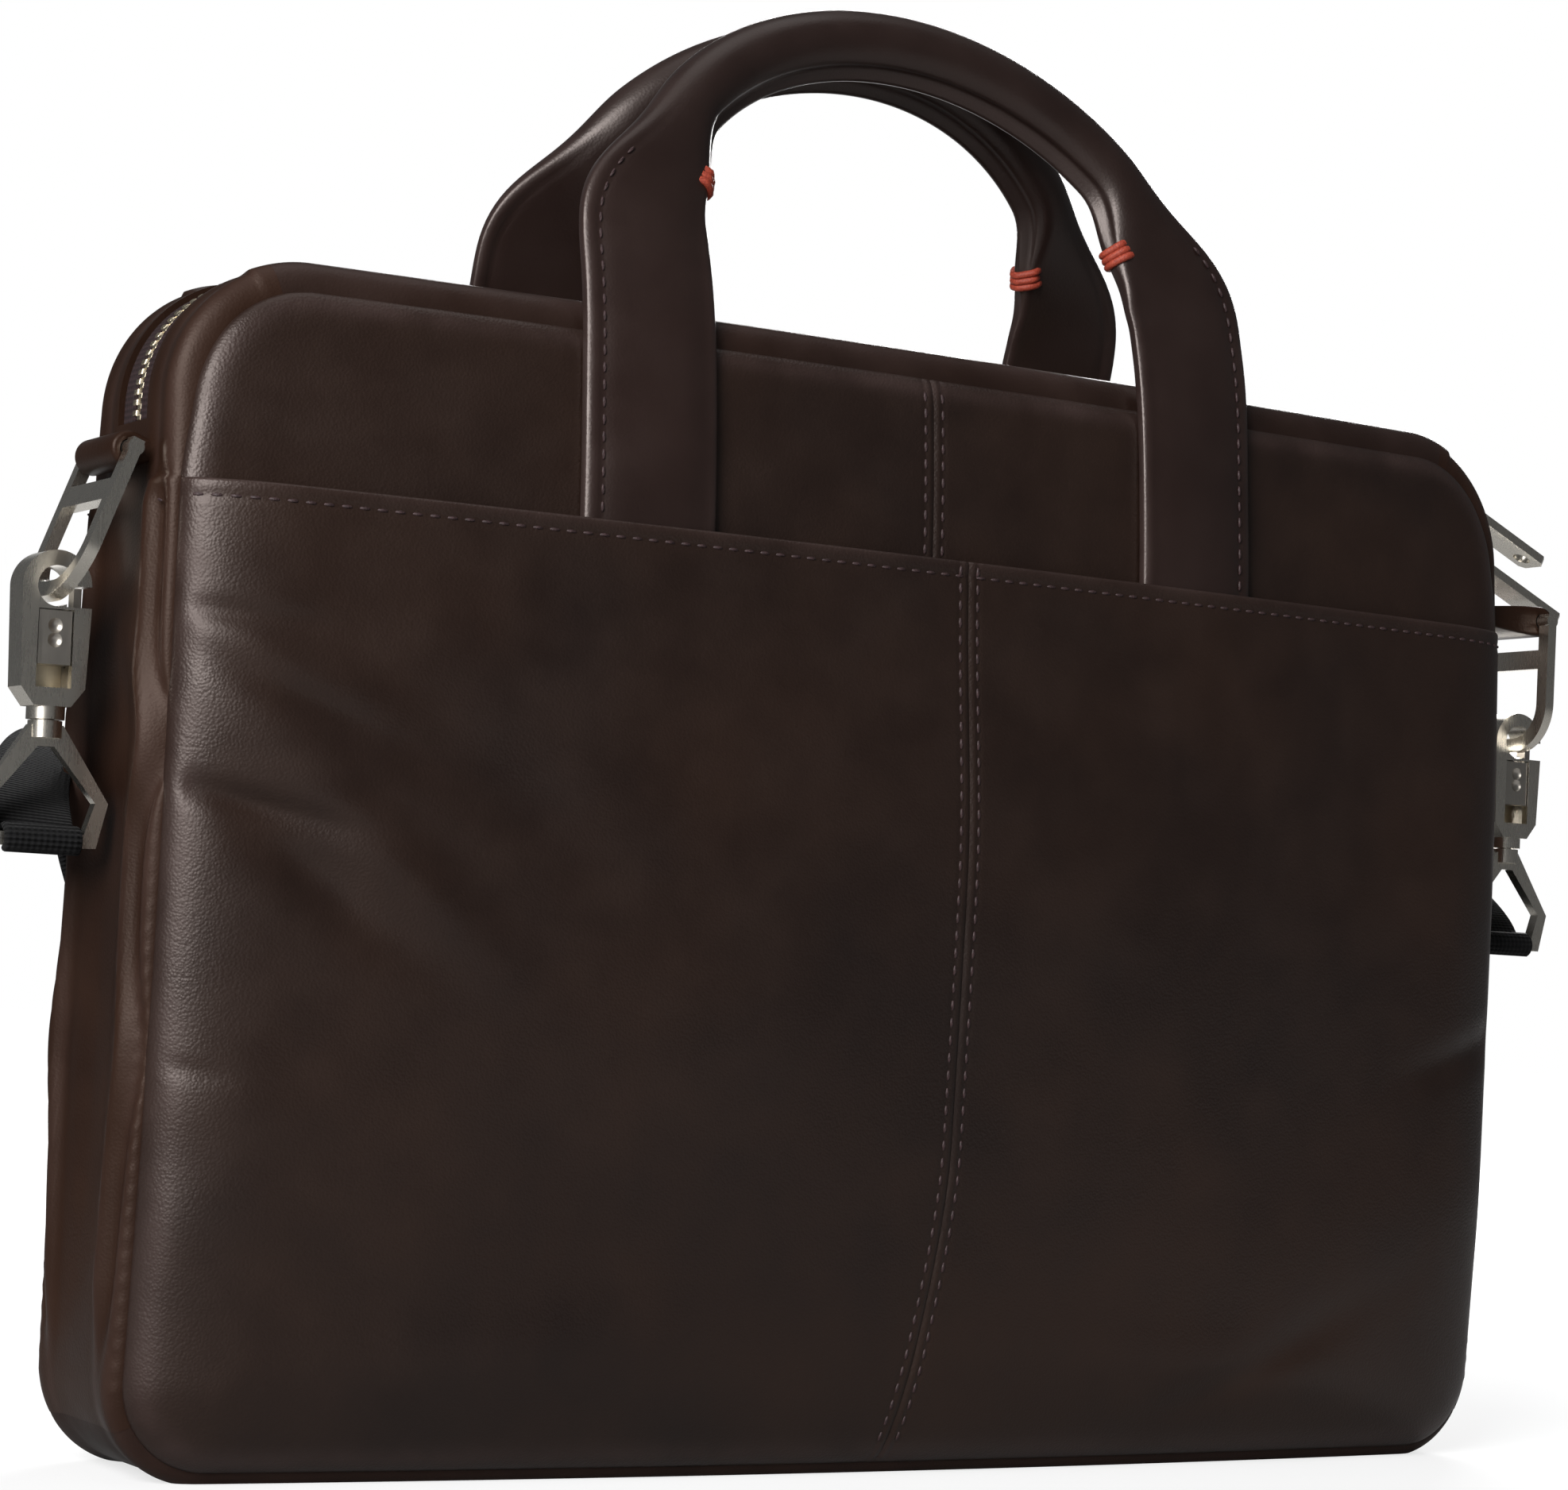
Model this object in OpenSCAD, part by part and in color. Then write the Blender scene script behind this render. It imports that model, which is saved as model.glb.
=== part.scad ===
// Leather briefcase with zip mouth, twin handles and a clip-on shoulder strap.
// Front faces -Y, +Z is up, origin at the middle of the base.

/* [Body] */
// Width across the side gussets
body_w = 404; // [340:1:440]
// Height of the top edge above the ground
body_h = 285; // [240:1:320]
// Depth between the crowns of the front and rear panels
body_d = 76; // [60:1:110]
// Radius of the crown of the panels
crown_r = 2150; // [1800:50:4000]
// Radius of the upper corners
top_r = 34; // [30:1:45]
// Radius of the lower corners
base_r = 24; // [18:1:32]
// Thickness of the front and rear panels
panel_t = 2.4; // [1.6:0.1:3.2]
// Thickness of the gusset and base leather
band_t = 2.4; // [1.6:0.1:3.2]
// Thickness of the cloth lining
lining_t = 1; // [0.6:0.1:1.6]
// Thickness of the stiffener board in the base
board_t = 2.6; // [1.5:0.1:4]
// Height of the seam between gusset and base
base_seam_z = 12; // [6:1:20]

/* [Pockets] */
// Distance of the pocket mouths below the top edge
pocket_drop = 54; // [40:1:85]
// Free depth of a pocket
pocket_gap = 6.6; // [5:0.1:10]
// Thickness of the pocket panel
pocket_t = 2.2; // [1.6:0.1:3]
// Width of the sewn rim of a pocket
pocket_rim = 7; // [4:0.5:12]
// Setback of the pocket from the panel edge
pocket_inset = 1.5; // [0.5:0.5:4]

/* [Mouth] */
// Distance from the side to the part of the top that opens
lip_margin = 23.5; // [20:0.5:50]
// Height of the fold line above the pocket mouths
fold_up = 1; // [0.5:0.5:4]
// Free height between the fold line and the folding yoke
fold_gap = 2.5; // [2:0.1:4]

/* [Zip] */
// Half width of the zip tape
tape_half = 9; // [7:0.5:12]
// Width of one row of teeth
row_w = 2.4; // [1.6:0.1:3]
// Half of the slit between the rows of teeth
slit_half = 0.6; // [0.5:0.1:0.9]
// Height of the teeth
teeth_h = 2.2; // [1.6:0.1:3]
// Thickness of the tape
tape_t = 1; // [0.6:0.1:1.4]
// Depth of the tape below the leather surface
tape_sink = 1.4; // [1:0.1:1.8]
// Distance of the zip ends on the gussets below the top edge
zip_end_drop = 39; // [30:1:43]
// Angle that one slider covers on the corner
slider_span = 19; // [15:1:22]
// Width of a slider
slider_w = 9.6; // [8:0.1:12]
// Place of the upper slider round the corner
slider_a_at = 37; // [33:1:40]
// Place of the lower slider round the corner
slider_b_at = 10; // [8:1:12]
// Length of a pull
pull_len = 42; // [28:1:48]
// Width of a pull
pull_w = 10; // [7:0.5:14]
// Thickness of a pull
pull_t = 2.4; // [1.6:0.1:3]
// Swing of the upper pull away from hanging
pull_a_swing = 66; // [60:1:80]
// Swing of the lower pull away from hanging
pull_b_swing = 66; // [60:1:80]
// Diameter of the pivot pin of a pull
pull_pin_d = 2.4; // [1.8:0.1:3]

/* [Handles] */
// Distance of each handle strap from the middle
strap_x = 83; // [60:1:110]
// Width of a flat handle strap
strap_w = 36; // [26:1:44]
// Thickness of a flat handle strap
strap_t = 3.4; // [2.6:0.1:4]
// Length of the end of the strap sewn in the pocket
anchor_len = 29; // [18:1:50]
// Height above the top edge at which the arch begins
arch_up = 15; // [5:1:35]
// Rise of the arch
arch_rise = 69; // [50:1:90]
// Height of the rolled grip section
grip_h = 17; // [14:0.5:22]
// Thickness of the rolled grip section
grip_t = 14; // [10:0.5:18]
// Inward lean of the handle above the top edge
handle_lean = 0.31; // [0.1:0.01:0.36]
// Height of the thread tacks above the start of the arch
tack_up = 26; // [5:1:30]

/* [Rings and loops] */
// Width of a ring
ring_w = 34; // [28:0.5:42]
// Distance between the bar and the foot of a ring
ring_drop = 36; // [30:0.5:44]
// Thickness of a ring
ring_t = 3; // [2:0.1:4]
// Width of the side bars of a ring
ring_bar = 4; // [3:0.1:5]
// Diameter of the round bar of a ring
ring_pin_d = 4; // [3:0.1:5]
// Radius of the foot corners of a ring
ring_r = 14; // [8:0.5:16]
// Reach of the left ring bar from the gusset
left_reach = 5; // [4.6:0.1:12]
// Reach of the right ring bar from the gusset
right_reach = 27; // [10:0.5:32]
// Distance of the ring bars below the top edge
bar_drop = 47; // [45:0.5:65]
// Outward swing of the left ring
left_swing = 20; // [0:1:30]
// Outward swing of the right ring
right_swing = 0; // [0:1:10]
// Thickness of the loop leather
loop_t = 2; // [1.4:0.1:2.6]

/* [Snap hooks] */
// Thickness of a hook across its flat sides
hook_t = 9; // [7:0.1:11]
// Outer radius of the hook bend
hook_r = 8.4; // [7.5:0.1:10]
// Radius of the hook eye
eye_r = 4.8; // [4:0.1:5.2]
// Length from the eye to the swivel end
hook_len = 31; // [28:0.5:36]
// Travel of the gate
gate_travel = 5.4; // [4:0.1:6]
// Width of the gate window
gate_w = 8.6; // [7:0.1:9]
// Height of the gate plate
gate_h = 12.6; // [10:0.1:13]
// Diameter of the swivel stud
stud_d = 4.06; // [3:0.01:5]
// Lean of the left hook
left_lean = 1; // [0:0.5:4]
// Half width of the strap frame
frame_half = 12.6; // [12:0.1:14]

/* [Shoulder strap] */
// Width of the webbing
web_w = 19; // [15:0.5:20]
// Thickness of the webbing
web_t = 1.8; // [1.2:0.1:2.4]
// Distance of the hanging webbing behind the middle
web_y = 56; // [53:0.5:70]
// Height of the lowest point of the webbing
web_low_z = 42; // [30:1:90]
// Distance below the top edge at which the webbing comes round the rear corners
web_top_drop = 109; // [95:1:125]

/* [Clearances] */
// Gap between pieces sewn together
fit = 0.2; // [0.1:0.05:0.3]
// Gap between pieces that move
run = 0.3; // [0.2:0.05:0.4]
// Gap round the part of the top that opens
mouth_gap = 0.5; // [0.3:0.1:1]
// Radial play of the pivots and studs
play = 0.07; // [0.03:0.01:0.1]

/* [Hidden] */
$fn = 64;
eps = 0.02;
big = 600;
mid_z = body_h / 2;
pocket_z = body_h - pocket_drop;
fold_z = pocket_z + fold_up;
lip_half = body_w / 2 - lip_margin;
zip_end_z = body_h - zip_end_drop;
anchor_z = pocket_z - anchor_len;
arch_z = body_h + arch_up;
tack_z = arch_z + tack_up;
bar_z = body_h - bar_drop;
web_top_z = body_h - web_top_drop;
corner_x = body_w / 2 - top_r;
corner_z = body_h - top_r;
tape_r = top_r - tape_sink;
teeth_r = tape_r - tape_t / 2 + teeth_h / 2;
yoke_z = fold_z + fold_gap;
skin = panel_t + fit;
lining_z = band_t + board_t + 2 * fit;
slider_plate = 1.5;
knuckle_d = 2 * pull_pin_d;
pull_pivot_r = teeth_r + run + slider_plate + knuckle_d / 2 + run;
left_bar_x = -(body_w / 2 + left_reach);
right_bar_x = body_w / 2 + right_reach;
loop_bore = ring_pin_d / 2 + run;
loop_w = ring_w - 2 * ring_bar - 2 * run;
left_eye = [left_bar_x - ring_drop * sin(left_swing), 0, bar_z - ring_drop * cos(left_swing)];
right_eye = [right_bar_x + ring_drop * sin(right_swing), 0, bar_z - ring_drop * cos(right_swing)];
eye_lift = 1;
mouth_w = 5;
window_top = -eye_r - 0.6;
window_low = window_top - gate_h - gate_travel - run;
frame_low = hook_len + 28;
frame_bar = 3.2;
frame_t = 3.2;

// Depth that the crown has lost at a place on a panel.
function crown_sag(x, z) = (x * x + (z - mid_z) * (z - mid_z)) / (2 * crown_r);

// Depth of the middle of a handle strap that lies on the panel.
function strap_mid(z) = crown_sag(strap_x - strap_w / 2, z) - body_d / 2 - strap_t / 2 - run;

function unit(v) = v / norm(v);

// Upright outline of the body, set in by an even margin.
module outline(inset) {
    half = body_w / 2 - inset;
    tr = top_r - inset;
    br = base_r - inset;
    low = inset;
    high = body_h - inset;
    translate([-half, low + br])
        square([2 * half, high - low - br - tr]);
    translate([-half + tr, low + br])
        square([2 * (half - tr), high - low - br]);
    translate([-half + br, low])
        square([2 * (half - br), high - low - tr]);
    for (side = [-1, 1]) {
        translate([side * (half - tr), high - tr])
            circle(r = tr);
        translate([side * (half - br), low + br])
            circle(r = br);
    }
}

module through_depth(depth) {
    rotate([90, 0, 0])
        linear_extrude(height = depth, center = true)
            children();
}

// Ball that gives the front crown, grown by a margin.
module crown_ball(grow) {
    translate([0, crown_r - body_d / 2, mid_z])
        sphere(r = crown_r + grow, $fn = 256);
}

module rear_ball(grow) {
    mirror([0, 1, 0])
        crown_ball(grow);
}

// Body filled between both crowns, set in by a margin at the edge and on the crowns.
module core(edge, depth_in) {
    intersection() {
        through_depth(body_d + 20)
            outline(edge);
        crown_ball(-depth_in);
        rear_ball(-depth_in);
    }
}

module slab(low, high) {
    translate([-big / 2, -big / 2, low])
        cube([big, big, high - low]);
}

module x_slab(low, high) {
    translate([low, -big / 2, -big / 2])
        cube([high - low, big, 2 * big]);
}

module y_slab(low, high) {
    translate([-big / 2, low, -big / 2])
        cube([big, high - low, 2 * big]);
}

// Crowned sheet of the front between two distances from the crown.
module front_sheet(inner, outer, edge) {
    difference() {
        intersection() {
            through_depth(2 * body_d)
                outline(edge);
            y_slab(-body_d, 0);
            crown_ball(outer);
        }
        crown_ball(inner);
    }
}

module mouth_box(low_z, half) {
    translate([-half, -big / 2, low_z])
        cube([2 * half, big, big]);
}

module main_panel() {
    difference() {
        front_sheet(-panel_t, 0, 0);
        mouth_box(fold_z - mouth_gap, lip_half + mouth_gap);
    }
}

module yoke(low_x, high_x) {
    intersection() {
        front_sheet(-panel_t, 0, 0);
        mouth_box(yoke_z, lip_half);
        x_slab(low_x, high_x);
    }
}

// Pocket panel with a rim that is sewn down at both sides and the foot.
module pocket(low_x, high_x) {
    intersection() {
        union() {
            front_sheet(pocket_gap, pocket_gap + pocket_t, pocket_inset);
            difference() {
                front_sheet(fit, pocket_gap + pocket_t, pocket_inset);
                through_depth(3 * body_d)
                    outline(pocket_inset + pocket_rim);
            }
        }
        slab(-1, pocket_z);
        x_slab(low_x, high_x);
    }
}

// Strip of leather round the edge of the body, between the panels.
module band() {
    difference() {
        core(0, skin);
        through_depth(2 * body_d)
            outline(band_t);
    }
}

module gusset(side) {
    difference() {
        intersection() {
            band();
            slab(base_seam_z + fit, body_h + 1);
            if (side < 0)
                x_slab(-big / 2, -lip_half - mouth_gap);
            else
                x_slab(lip_half + mouth_gap, big / 2);
        }
        translate([side * body_w / 2 - big / 4, -tape_half - fit, zip_end_z])
            cube([big / 2, 2 * (tape_half + fit), big]);
    }
}

module base_band() {
    intersection() {
        band();
        slab(-1, base_seam_z);
    }
}

module lining_bag() {
    difference() {
        intersection() {
            core(band_t + fit, skin);
            slab(lining_z, fold_z - 3);
        }
        intersection() {
            core(band_t + fit + lining_t, skin + lining_t);
            slab(lining_z + lining_t, body_h);
        }
    }
}

module board() {
    half_x = body_w / 2 - base_r - 2;
    half_y = body_d / 2 - skin - crown_sag(half_x, 0) - 1;
    translate([-half_x, -half_y, band_t + fit])
        cube([2 * half_x, 2 * half_y, board_t]);
}

// Part of a ring round the outline, between two depths below the leather surface.
module rim(sink, thick, low_y, high_y) {
    intersection() {
        difference() {
            through_depth(2 * body_d)
                outline(sink);
            through_depth(3 * body_d)
                outline(sink + thick);
        }
        y_slab(low_y, high_y);
        slab(zip_end_z, body_h + 1);
    }
}

// Strip of leather beside the zip, with its outer edge on an upright round.
module top_strip() {
    edge_r = sqrt(pow(crown_r - skin, 2) - mid_z * mid_z);
    intersection() {
        difference() {
            through_depth(body_d)
                outline(0);
            through_depth(2 * body_d)
                outline(band_t);
        }
        mouth_box(corner_z, lip_half);
        y_slab(-body_d, -tape_half - fit);
        translate([0, crown_r - body_d / 2, 0])
            cylinder(h = 2 * body_h, r = edge_r, $fn = 256);
    }
}

module tape_row() {
    rim(tape_sink, tape_t, -tape_half, -slit_half - row_w - eps);
}

module teeth_row() {
    rim(top_r - teeth_r, teeth_h, -slit_half - row_w, -slit_half);
}

module lip_part() {
    intersection() {
        children();
        mouth_box(corner_z, lip_half);
    }
}

module end_part(side) {
    intersection() {
        union() {
            children();
            mirror([0, 1, 0])
                children();
        }
        if (side < 0)
            x_slab(-big / 2, -lip_half - mouth_gap);
        else
            x_slab(lip_half + mouth_gap, big / 2);
    }
}

// Moves its children to the right upper corner, turned up by an angle.
module round_corner(angle) {
    translate([corner_x, 0, corner_z])
        rotate([0, -angle, 0])
            children();
}

// Piece turned about the corner axis: its profile is given as radius and depth.
module corner_turn(span) {
    rotate([90, 0, 0])
        rotate([0, 0, -span / 2])
            rotate_extrude(angle = span, $fn = 180)
                children();
}

module slider(at) {
    channel_low = teeth_r - teeth_h - run;
    channel_high = teeth_r + run;
    plate_low = 1.2;
    lug_d = 4;
    lug_w = 1.3;
    lug_y = 2;
    round_corner(at) {
        difference() {
            corner_turn(slider_span)
                translate([channel_low - plate_low, -slider_w / 2])
                    square([channel_high - channel_low + plate_low + slider_plate, slider_w]);
            corner_turn(slider_span + 4)
                difference() {
                    union() {
                        translate([channel_low, -slit_half - row_w - run])
                            square([channel_high - channel_low, 2 * (slit_half + row_w + run)]);
                        translate([tape_r - tape_t - run, -slider_w])
                            square([tape_t + 2 * run, 2 * slider_w]);
                    }
                    translate([0, -slit_half + fit])
                        square([big, 2 * (slit_half - fit)]);
                }
        }
        for (side = [-1, 1])
            translate([0, side * (lug_y + lug_w / 2), 0]) {
                translate([channel_high + slider_plate / 2, -lug_w / 2, -lug_d / 2])
                    cube([pull_pivot_r - channel_high - slider_plate / 2, lug_w, lug_d]);
                translate([pull_pivot_r, lug_w / 2, 0])
                    rotate([90, 0, 0])
                        cylinder(h = lug_w, d = lug_d);
            }
        translate([pull_pivot_r, lug_y + eps, 0])
            rotate([90, 0, 0])
                cylinder(h = 2 * (lug_y + eps), d = pull_pin_d);
    }
}

// Flat pull on its pivot pin, hanging down and swung outward.
module pull(at, swing) {
    knuckle_w = 3.4;
    hole_d = 5.2;
    cut = 1.6;
    neck = 5;
    pivot = [corner_x + pull_pivot_r * cos(at), 0, corner_z + pull_pivot_r * sin(at)];
    translate(pivot)
        rotate([0, -swing, 0])
            difference() {
                union() {
                    rotate([90, 0, 0])
                        cylinder(h = knuckle_w, d = knuckle_d, center = true);
                    translate([-pull_t / 2, -knuckle_w / 2, -neck - 1])
                        cube([pull_t, knuckle_w, neck + 1]);
                    translate([-pull_t / 2, 0, 0])
                        rotate([90, 0, 90])
                            linear_extrude(height = pull_t)
                                polygon([
                                    [-pull_w / 2 + cut, -neck], [pull_w / 2 - cut, -neck],
                                    [pull_w / 2, -neck - cut], [pull_w / 2, -pull_len + cut],
                                    [pull_w / 2 - cut, -pull_len], [-pull_w / 2 + cut, -pull_len],
                                    [-pull_w / 2, -pull_len + cut], [-pull_w / 2, -neck - cut]
                                ]);
                }
                rotate([90, 0, 0])
                    cylinder(h = 2 * pull_w, d = pull_pin_d + 2 * play, center = true);
                translate([0, 0, -pull_len + hole_d])
                    rotate([0, 90, 0])
                        cylinder(h = 3 * pull_t, d = hole_d, center = true);
            }
}

// Ends of a handle, sewn to the panel inside the pocket.
module anchors() {
    top_z = pocket_z - fold_up;
    half = strap_t / 2;
    for (side = [-1, 1])
        translate([side * strap_x - strap_w / 2, 0, 0])
            rotate([90, 0, 90])
                linear_extrude(height = strap_w)
                    polygon([
                        [strap_mid(anchor_z) - half, anchor_z], [strap_mid(anchor_z) + half, anchor_z],
                        [strap_mid(top_z) + half, top_z], [strap_mid(top_z) - half, top_z]
                    ]);
}

// Middle line of a handle: 0 and 1 are the strap ends, 0.5 is the top of the arch.
straight_share = 0.22;
strap_foot_z = fold_z + 0.6;
function handle_point(s) =
    let (
        q = s < 0.5 ? s : 1 - s,
        sign_x = s < 0.5 ? -1 : 1,
        turn = max(0, (q - straight_share) / (0.5 - straight_share)) * 90,
        x = q < straight_share ? strap_x : strap_x * cos(turn),
        z = q < straight_share
            ? strap_foot_z + (arch_z - strap_foot_z) * q / straight_share
            : arch_z + arch_rise * sin(turn),
        lean = max(0, z - body_h)
    )
    [sign_x * x, strap_mid(min(z, body_h)) + handle_lean * lean, z];

// Share of the rolled grip form at a height on the handle.
function rolled(z) =
    let (w = min(1, max(0, (z - tack_z - 2) / 26)))
    w * w * (3 - 2 * w);

function handle_ring(s, count) =
    let (
        p = handle_point(s),
        along = unit(handle_point(min(1, s + 0.004)) - handle_point(max(0, s - 0.004))),
        depth = unit([0, 1, 0] - along[1] * along),
        wide = cross(along, depth),
        r = rolled(p[2]),
        half_w = strap_w / 2 * (1 - r) + grip_h / 2 * r,
        half_t = strap_t / 2 * (1 - r) + grip_t / 2 * r,
        power = 0.35 * (1 - r) + 1 * r
    )
    [for (i = [0 : count - 1])
        let (a = 360 * (i + 0.5) / count, c = cos(a), d = sin(a))
        p + wide * half_w * sign(c) * pow(abs(c), power)
          + depth * half_t * sign(d) * pow(abs(d), power)];

// Closed skin over rings of points that follow one another.
module skin_over(rings) {
    count = len(rings[0]);
    last = len(rings) - 1;
    polyhedron(
        points = [for (ring = rings) each ring],
        faces = concat(
            [[for (i = [0 : count - 1]) i]],
            [[for (i = [count - 1 : -1 : 0]) last * count + i]],
            [for (k = [0 : last - 1], i = [0 : count - 1], half = [0, 1])
                let (
                    a = k * count + i,
                    b = k * count + (i + 1) % count,
                    c = a + count,
                    d = b + count
                )
                half == 0 ? [a, c, b] : [b, c, d]]
        )
    );
}

module handle() {
    steps = 44;
    skin_over([for (k = [0 : steps]) handle_ring(k / steps, 20)]);
}

module tacks() {
    tack = [7, 0.8, 3];
    tack_rise = 0.1;
    turn = asin((tack_z - arch_z) / arch_rise);
    lean_y = strap_mid(body_h) + handle_lean * (tack_z - body_h);
    for (side = [-1, 1])
        translate([side * (strap_x * cos(turn) - strap_w / 3), lean_y - strap_t / 2 - tack_rise, tack_z])
            rotate([-atan(handle_lean), 0, 0])
                cube(tack, center = true);
}

// Loop of leather round a ring bar, with its two leaves running back to the gusset.
module loop(bar_x, bar_z, reach, side) {
    difference() {
        union() {
            translate([bar_x, loop_w / 2, bar_z])
                rotate([90, 0, 0])
                    cylinder(h = loop_w, r = loop_bore + loop_t);
            translate([side > 0 ? bar_x - reach + fit : bar_x, -loop_w / 2, bar_z - loop_t - fit])
                cube([reach - fit, loop_w, 2 * (loop_t + fit)]);
        }
        translate([bar_x, big / 2, bar_z])
            rotate([90, 0, 0])
                cylinder(h = big, r = loop_bore);
    }
}

// Flat ring with a round bar in the loop, a cross bar and a rounded foot.
module ring(bar_x, bar_z, swing, side) {
    inner_w = ring_w - 2 * ring_bar;
    slot_low = 8.4;
    cross_h = 5.5;
    foot = ring_drop + ring_bar / 2;
    inner_r = ring_r - ring_bar;
    translate([bar_x, 0, bar_z])
        rotate([0, -side * swing, 0]) {
            rotate([90, 0, 0])
                cylinder(h = ring_w, d = ring_pin_d, center = true);
            rotate([90, 0, 90])
                linear_extrude(height = ring_t, center = true)
                    difference() {
                        union() {
                            translate([-ring_w / 2, -foot + ring_r])
                                square([ring_w, foot - ring_r + ring_pin_d / 2]);
                            translate([-ring_w / 2 + ring_r, -foot])
                                square([ring_w - 2 * ring_r, foot]);
                            for (end = [-1, 1])
                                translate([end * (ring_w / 2 - ring_r), -foot + ring_r])
                                    circle(r = ring_r);
                        }
                        translate([-inner_w / 2, -slot_low])
                            square([inner_w, slot_low + ring_pin_d]);
                        translate([-inner_w / 2, -foot + ring_r])
                            square([inner_w, foot - ring_r - slot_low - cross_h]);
                        translate([-ring_w / 2 + ring_r, -foot + ring_bar])
                            square([ring_w - 2 * ring_r, ring_r]);
                        for (end = [-1, 1])
                            translate([end * (ring_w / 2 - ring_r), -foot + ring_r])
                                circle(r = inner_r);
                    }
        }
}

// Places a hook at its eye, leaning about the depth axis.
module at_eye(eye, lean) {
    translate(eye + [0, 0, eye_lift])
        rotate([0, -lean, 0])
            children();
}

module hook_flat(thick) {
    rotate([90, 0, 0])
        linear_extrude(height = thick, center = true)
            children();
}

// Snap hook: bend with open mouth, body with gate window, swivel end with bore.
module hook() {
    shoulder = 8.6;
    shoulder_z = -4;
    waist = 7.8;
    waist_z = window_low;
    neck = 4.5;
    neck_z = -hook_len + 3;
    collar_h = 4;
    collar_d = 9;
    slot_t = 4.6;
    slot_out = 7.2;
    overlap = 1;
    floor_t = 0.6;
    difference() {
        union() {
            hook_flat(hook_t) {
                circle(r = hook_r);
                polygon([
                    [-hook_r, 0], [hook_r, 0], [shoulder, shoulder_z], [waist, waist_z],
                    [neck, neck_z], [-neck, neck_z], [-waist, waist_z]
                ]);
            }
            translate([0, 0, -hook_len])
                cylinder(h = collar_h, d = collar_d);
        }
        hook_flat(2 * hook_t)
            circle(r = eye_r);
        hook_flat(2 * hook_t)
            translate([eye_r / 2, -eye_r])
                square([hook_r, mouth_w]);
        hook_flat(2 * hook_t)
            translate([-gate_w / 2, window_low])
                square([gate_w, window_top - window_low]);
        hook_flat(slot_t)
            translate([gate_w / 2 - overlap, window_low])
                square([slot_out - gate_w / 2 + overlap, -window_low]);
        translate([0, 0, -hook_len - overlap])
            cylinder(h = hook_len + window_low + overlap - floor_t, d = stud_d + 2 * play);
    }
}

// Sliding gate: plate with two dimples and the tongue that shuts the mouth.
module gate() {
    front = 0.4;
    plate_t = 5.2;
    tongue_t = 3.4;
    tongue_in = 5;
    tongue_out = 6.9;
    tongue_h = 11;
    bridge_h = 8;
    overlap = 1;
    dimple = 2.2;
    dimple_out = 0.6;
    low = window_top - run - gate_h;
    tongue_z = low + gate_h - tongue_h;
    difference() {
        union() {
            translate([-gate_w / 2 + run, -hook_t / 2 + front, low])
                cube([gate_w - 2 * run, plate_t, gate_h]);
            translate([tongue_in, -tongue_t / 2, tongue_z])
                cube([tongue_out - tongue_in, tongue_t, tongue_h - window_top + fit]);
            translate([gate_w / 2 - overlap, -tongue_t / 2, tongue_z])
                cube([tongue_in - gate_w / 2 + overlap + fit, tongue_t, bridge_h]);
        }
        for (share = [0.45, 0.72])
            translate([0, -hook_t / 2 + front - dimple * dimple_out, low + gate_h * share])
                sphere(r = dimple);
    }
}

// Brass plate behind the gate, that carries its spring.
module track() {
    back = 2.6;
    translate([-gate_w / 2 + fit, hook_t / 2 - back, window_low + fit])
        cube([gate_w - 2 * fit, back - run, window_top - window_low - 2 * fit]);
}

// Strap frame with its swivel stud, hanging below the hook.
module strap_frame() {
    top = hook_len + run;
    neck = 4;
    stud_top = window_low - 1.2;
    wide_z = frame_low - 9;
    translate([0, 0, -top - 3])
        cylinder(h = top + 3 + stud_top, d = stud_d);
    translate([0, 0, -top - neck])
        cylinder(h = neck, d = 8);
    hook_flat(frame_t)
        difference() {
            polygon([
                [-4, -top - 1], [4, -top - 1], [frame_half + frame_bar, -wide_z],
                [frame_half + 0.6, -frame_low - frame_bar / 2],
                [-frame_half - 0.6, -frame_low - frame_bar / 2], [-frame_half - frame_bar, -wide_z]
            ]);
            polygon([
                [-2, -top - neck - 2], [2, -top - neck - 2], [frame_half, -wide_z],
                [frame_half - 2.4, -frame_low + frame_bar / 2],
                [-frame_half + 2.4, -frame_low + frame_bar / 2], [-frame_half, -wide_z]
            ]);
        }
}

// Middle line of the webbing behind the body, from the left frame to the right one.
function web_end(eye, lean, drop) =
    eye + [0, 0, eye_lift] + [sin(lean) * drop, 0, -cos(lean) * drop];

function web_point(s) =
    let (
        left = web_end(left_eye, left_lean, frame_low),
        right = web_end(right_eye, 0, frame_low),
        rise = 0.12,
        q = s < 0.5 ? s : 1 - s,
        from = s < 0.5 ? left : right,
        k = min(1, q / rise),
        turn = max(0, (q - rise) / (0.5 - rise)) * 90,
        back = frame_t / 2 + web_t / 2 + run,
        ease = k * k * (3 - 2 * k)
    )
    q < rise
        ? [from[0], from[1] + back + (web_y - from[1] - back) * ease,
            from[2] - frame_bar / 2 + (web_top_z - from[2] + frame_bar / 2) * sin(90 * k)]
        : [from[0] * cos(turn), web_y, web_low_z + (web_top_z - web_low_z) * (1 - sin(turn))];

// Direction across the webbing: level at the frames, upright below the body.
function web_across(s) =
    let (
        q = s < 0.5 ? s : 1 - s,
        rise = 0.12,
        turn = max(0, (q - rise) / (0.5 - rise)) * 90,
        flip = s < 0.5 ? 1 : -1
    )
    unit([cos(turn), 0, flip * sin(turn)]);

function web_ring(s) =
    let (
        p = web_point(s),
        along = unit(web_point(min(1, s + 0.003)) - web_point(max(0, s - 0.003))),
        guess = web_across(s) * (s < 0.5 ? 1 : -1),
        across = unit(guess - (guess * along) * along),
        face = cross(along, across),
        w = across * web_w / 2,
        t = face * web_t / 2
    )
    [p + w + t, p - w + t, p - w - t, p + w - t];

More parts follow.
